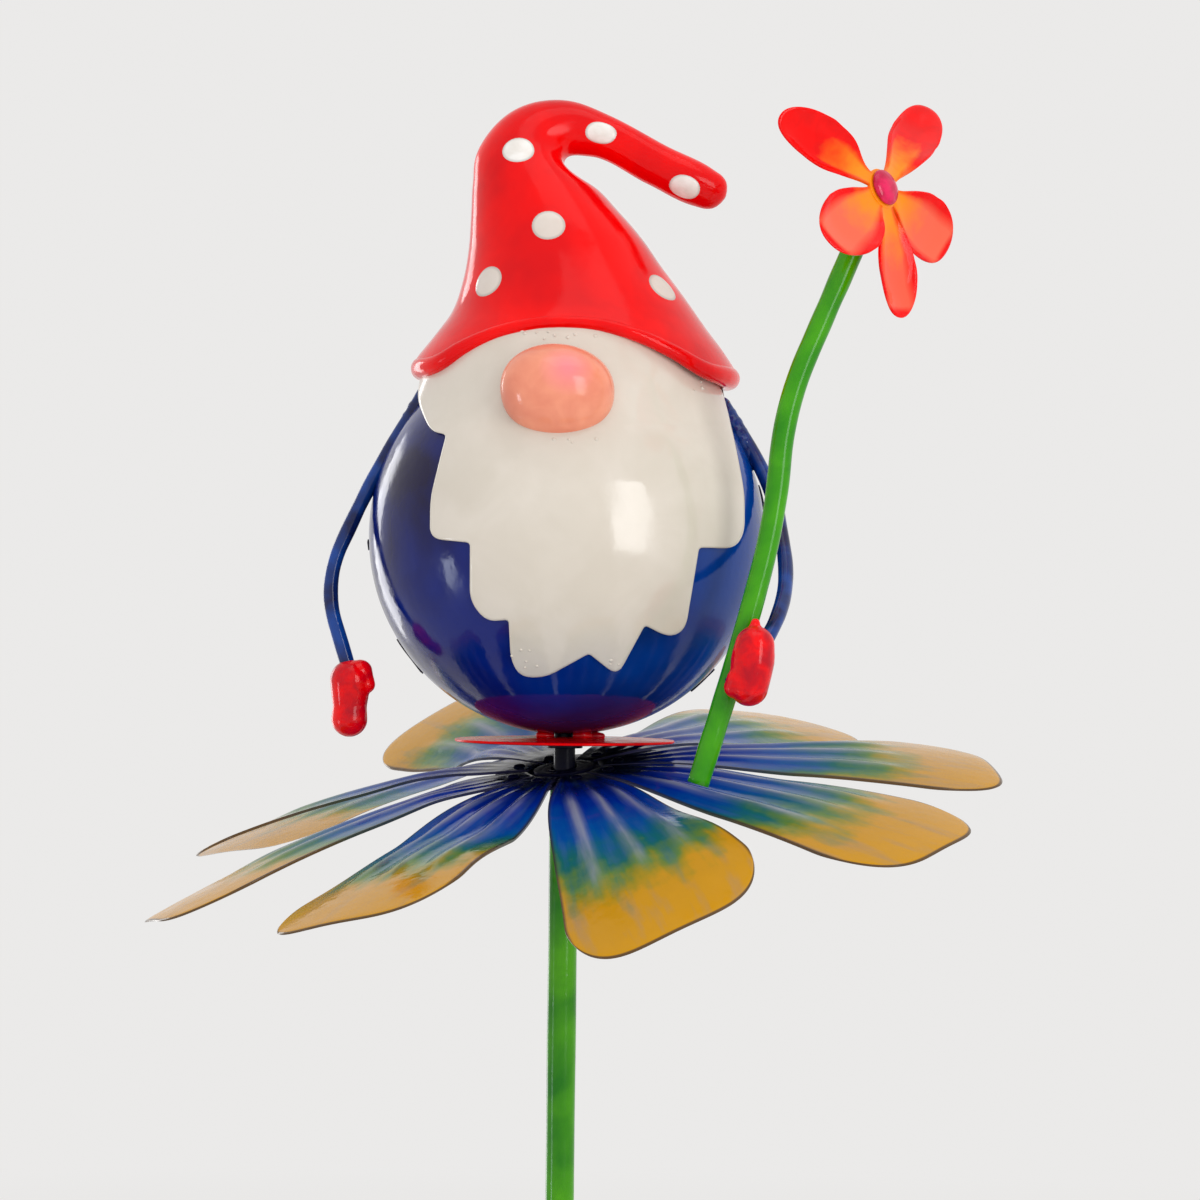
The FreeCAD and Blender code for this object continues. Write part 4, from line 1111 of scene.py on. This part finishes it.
def flower_paint():
    """Orange at the heart; the outer blade is red, or salmon inside a red rim."""
    paint = enamel("flower_orange_enamel", (0.95, 0.0, 0.0), (0.80, 0.0, 0.0), patch=6.0,
                   specular=0.2)
    rim = paint.ranged(paint.layer("rim"), 0.55, 0.85)
    salmon = paint.maths("MULTIPLY", paint.layer("salmon"), paint.maths("SUBTRACT", 1.0, rim))
    outer = paint.mix(salmon, paint.colour_so_far(), (0.95, 0.16, 0.085))
    reach = paint.maths("ADD", paint.layer("out"), paint.swing(paint.grain(4.0, detail=3.0), 10.0))
    reach = paint.maths("ADD", reach, paint.maths("MULTIPLY", rim, 9.0))
    paint.colour(paint.mix(paint.ranged(reach, 9.0, 22.0), (0.95, 0.27, 0.008), outer))
    return paint


def flower_petals(place, rows=19, columns=19):
    """The five dished and twisted blades of the held flower."""
    along, across, _, out, half = leaf_grid(FLOWER_STATIONS, FLOWER_TIP, 2.3, rows, columns)
    rim = np.maximum(np.abs(across), smooth_step(FLOWER_TIP - 7, FLOWER_TIP, out))
    dish = FLOWER_DISH * np.abs(across) ** 2.4 * smooth_step(4, 16, out)
    dish = dish + FLOWER_TIP_DISH * smooth_step(0.72, 1.0, along) * np.sqrt(1 - across ** 2)
    level = SHEET / 2 - FLOWER_BEND * out + dish
    petals = []
    for angle, twist, length, width, salmon in FLOWER_PETALS:
        turn = math.radians(twist) * smooth_step(4, 16, out)
        aside = across * half * width
        points = np.stack([out * length, aside * np.cos(turn), level + aside * np.sin(turn)], 2)
        layers = dict(zip(FLOWER_LAYERS, (out, rim, np.full(out.shape, salmon))))
        petal = add_piece("flower_petal", points.reshape(-1, 3), grid_faces(rows, columns), layers)
        petal.data.transform(place @ Matrix.Rotation(math.radians(angle), 4, "Z"))
        thicken(petal, SHEET)
        petals.append(petal)
    return petals


def make_flower(paint):
    """The held flower's head, centre rivet and back washer, and its stem."""
    place = flower_matrix()
    petals = flower_petals(place)
    disc = lathe("flower_disc", [(0.0, -0.3), (5.6, -0.9), (5.6, 0.1), (0.0, 1.0)], solid=True,
                 place=place, count=32)
    for layer in FLOWER_LAYERS:
        disc.data.attributes.new(layer, "FLOAT", "POINT")
    piece = join("flower", petals + [disc])
    finish_piece(piece, flower_paint(), "flower_head")
    rivet, washer = 2.0, 4.5
    piece = lathe("flower_heart", [
        (0.0, -SHEET), (rivet, -SHEET), (rivet, 0.4), (5.2, 0.5), (4.6, 1.9), (2.4, 2.8), (0.0, 2.9),
    ], soften=1.4, solid=True, place=place, count=40)
    magenta = enamel("flower_magenta_enamel", (0.78, 0.006, 0.10), (0.50, 0.0, 0.05), patch=3.0,
                     relief=0.12)
    finish_piece(piece, magenta, "flower_center_rivet")
    piece = lathe("flower_washer", ring_section(rivet, washer, -SHEET, -0.1), place=place, count=40)
    finish_piece(piece, paint["stem"], "flower_back_washer")
    path = softened(above_hub(STEM_ROUTE), 15.0, steps=10)
    stem = tube("flower_stalk", path, 3.0, wobble=0.05, count=36, ease=0.25)
    finish_piece(stem, paint["stem"], "flower_stem")


# ---------------------------------------------------------------- hidden CAD parts and stage

def paint_kept_nodes(paint):
    """The CAD nodes that no piece stands for: they are hidden inside the ball and the hat."""
    for node in ("ball_lock_nut", "hat_support_post", "hat_support_disc"):
        data = frame["nodes"][node].data
        data.materials.clear()
        data.materials.append(paint["steel"].material)


CAMERA_DISTANCE = 1100.0
CAMERA_ASIDE = 9.4
CAMERA_ABOVE_HUB = 47.0
CAMERA_ROLL = math.radians(0.62)
FRAME_WIDTH = 333.4
SENSOR = 36.0


def make_camera():
    """Level with the ball's chest, in front, rolled a little as the photographer held it."""
    data = bpy.data.cameras.new("camera")
    data.sensor_width = SENSOR
    data.lens = SENSOR * CAMERA_DISTANCE / FRAME_WIDTH
    data.clip_start = 0.05
    data.clip_end = 60.0
    camera = bpy.data.objects.new("camera", data)
    bpy.context.scene.collection.objects.link(camera)
    cosine, sine = math.cos(CAMERA_ROLL), math.sin(CAMERA_ROLL)
    turn = Matrix(((cosine, -sine, 0), (0, 0, -1), (sine, cosine, 0))).to_4x4()
    at = Vector((CAMERA_ASIDE, -CAMERA_DISTANCE, HUB[2] + CAMERA_ABOVE_HUB)) * MM
    camera.matrix_world = Matrix.Translation(at) @ turn
    bpy.context.scene.camera = camera


# Area lights that face the ball: name, place, size, both in metres, power in watts, colour.
LIGHTS = [
    ("window", (0.95, -1.25, 0.78), (0.50, 1.10), 7.5, (1.0, 1.0, 1.0)),
    ("left_window", (-1.33, -0.40, 0.06), (0.18, 0.34), 1.5, (0.80, 0.88, 1.0)),
    ("rear_window", (-1.20, 1.55, 0.50), (0.50, 1.30), 7.0, (1.0, 1.0, 1.0)),
    ("ceiling", (0.2, -0.35, 1.75), (1.0, 0.7), 2.0, (1.0, 1.0, 1.0)),
]
STUDIO_WHITE, STUDIO_GLOW = (1.0, 0.99, 0.98), 0.83
FLOOR_RADIUS, FLOOR_CORNERS = 20000.0, 96


def make_lights():
    for name, at, size, power, colour in LIGHTS:
        data = bpy.data.lights.new(name, "AREA")
        data.shape = "RECTANGLE"
        data.size, data.size_y = size
        data.energy = power
        data.color = colour
        lamp = bpy.data.objects.new(name, data)
        bpy.context.scene.collection.objects.link(lamp)
        lamp.location = at
        aim = Vector(BALL_CENTRE * MM) - Vector(at)
        lamp.rotation_mode = "QUATERNION"
        lamp.rotation_quaternion = aim.to_track_quat("-Z", "Y")


def make_stage(floor_height):
    """Even studio light, lamps, and a pale floor that glows like the background far away."""
    world = bpy.data.worlds.new("studio")
    world.use_nodes = True
    background = world.node_tree.nodes["Background"]
    background.inputs["Color"].default_value = (*STUDIO_WHITE, 1.0)
    background.inputs["Strength"].default_value = STUDIO_GLOW
    bpy.context.scene.world = world
    points = [(0, 0, floor_height), *level_ring(FLOOR_RADIUS, floor_height, FLOOR_CORNERS)]
    faces = [(0, 1 + index, 1 + (index + 1) % FLOOR_CORNERS) for index in range(FLOOR_CORNERS)]
    floor = add_piece("floor", points, faces)
    paint = Paint("pale_floor", specular=0.2)
    paint.colour(paint.mix(paint.grain(400.0), (0.80, 0.79, 0.775), (0.82, 0.81, 0.80)))
    paint.set(paint.shader.inputs["Roughness"], 0.7)
    middle = paint.node("ShaderNodeVectorMath", {0: paint.place}, operation="LENGTH")
    far = paint.ranged(middle.outputs["Value"], 1.0, 3.2)
    glow = paint.node("ShaderNodeEmission", {"Color": STUDIO_WHITE, "Strength": STUDIO_GLOW})
    blend = paint.node("ShaderNodeMixShader", {0: far, 1: paint.shader.outputs[0], 2: glow.outputs[0]})
    output = next(node for node in paint.tree.nodes if node.type == "OUTPUT_MATERIAL")
    paint.set(output.inputs["Surface"], blend.outputs[0])
    floor.data.materials.append(paint.material)
    make_lights()


# ---------------------------------------------------------------- the scene

materials = make_materials()
make_stake(materials)
make_petals(materials)
make_hub(materials)
make_disc(materials)
make_ball(materials)
make_beard(materials)
make_nose(materials)
make_hat(materials)
make_arms(materials)
make_gloves(materials)
make_flower(materials)
paint_kept_nodes(materials)
make_camera()
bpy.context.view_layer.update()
make_stage(span("lower_stake_rod")[0][2] - 0.5)
bpy.context.scene.view_settings.view_transform = "Standard"
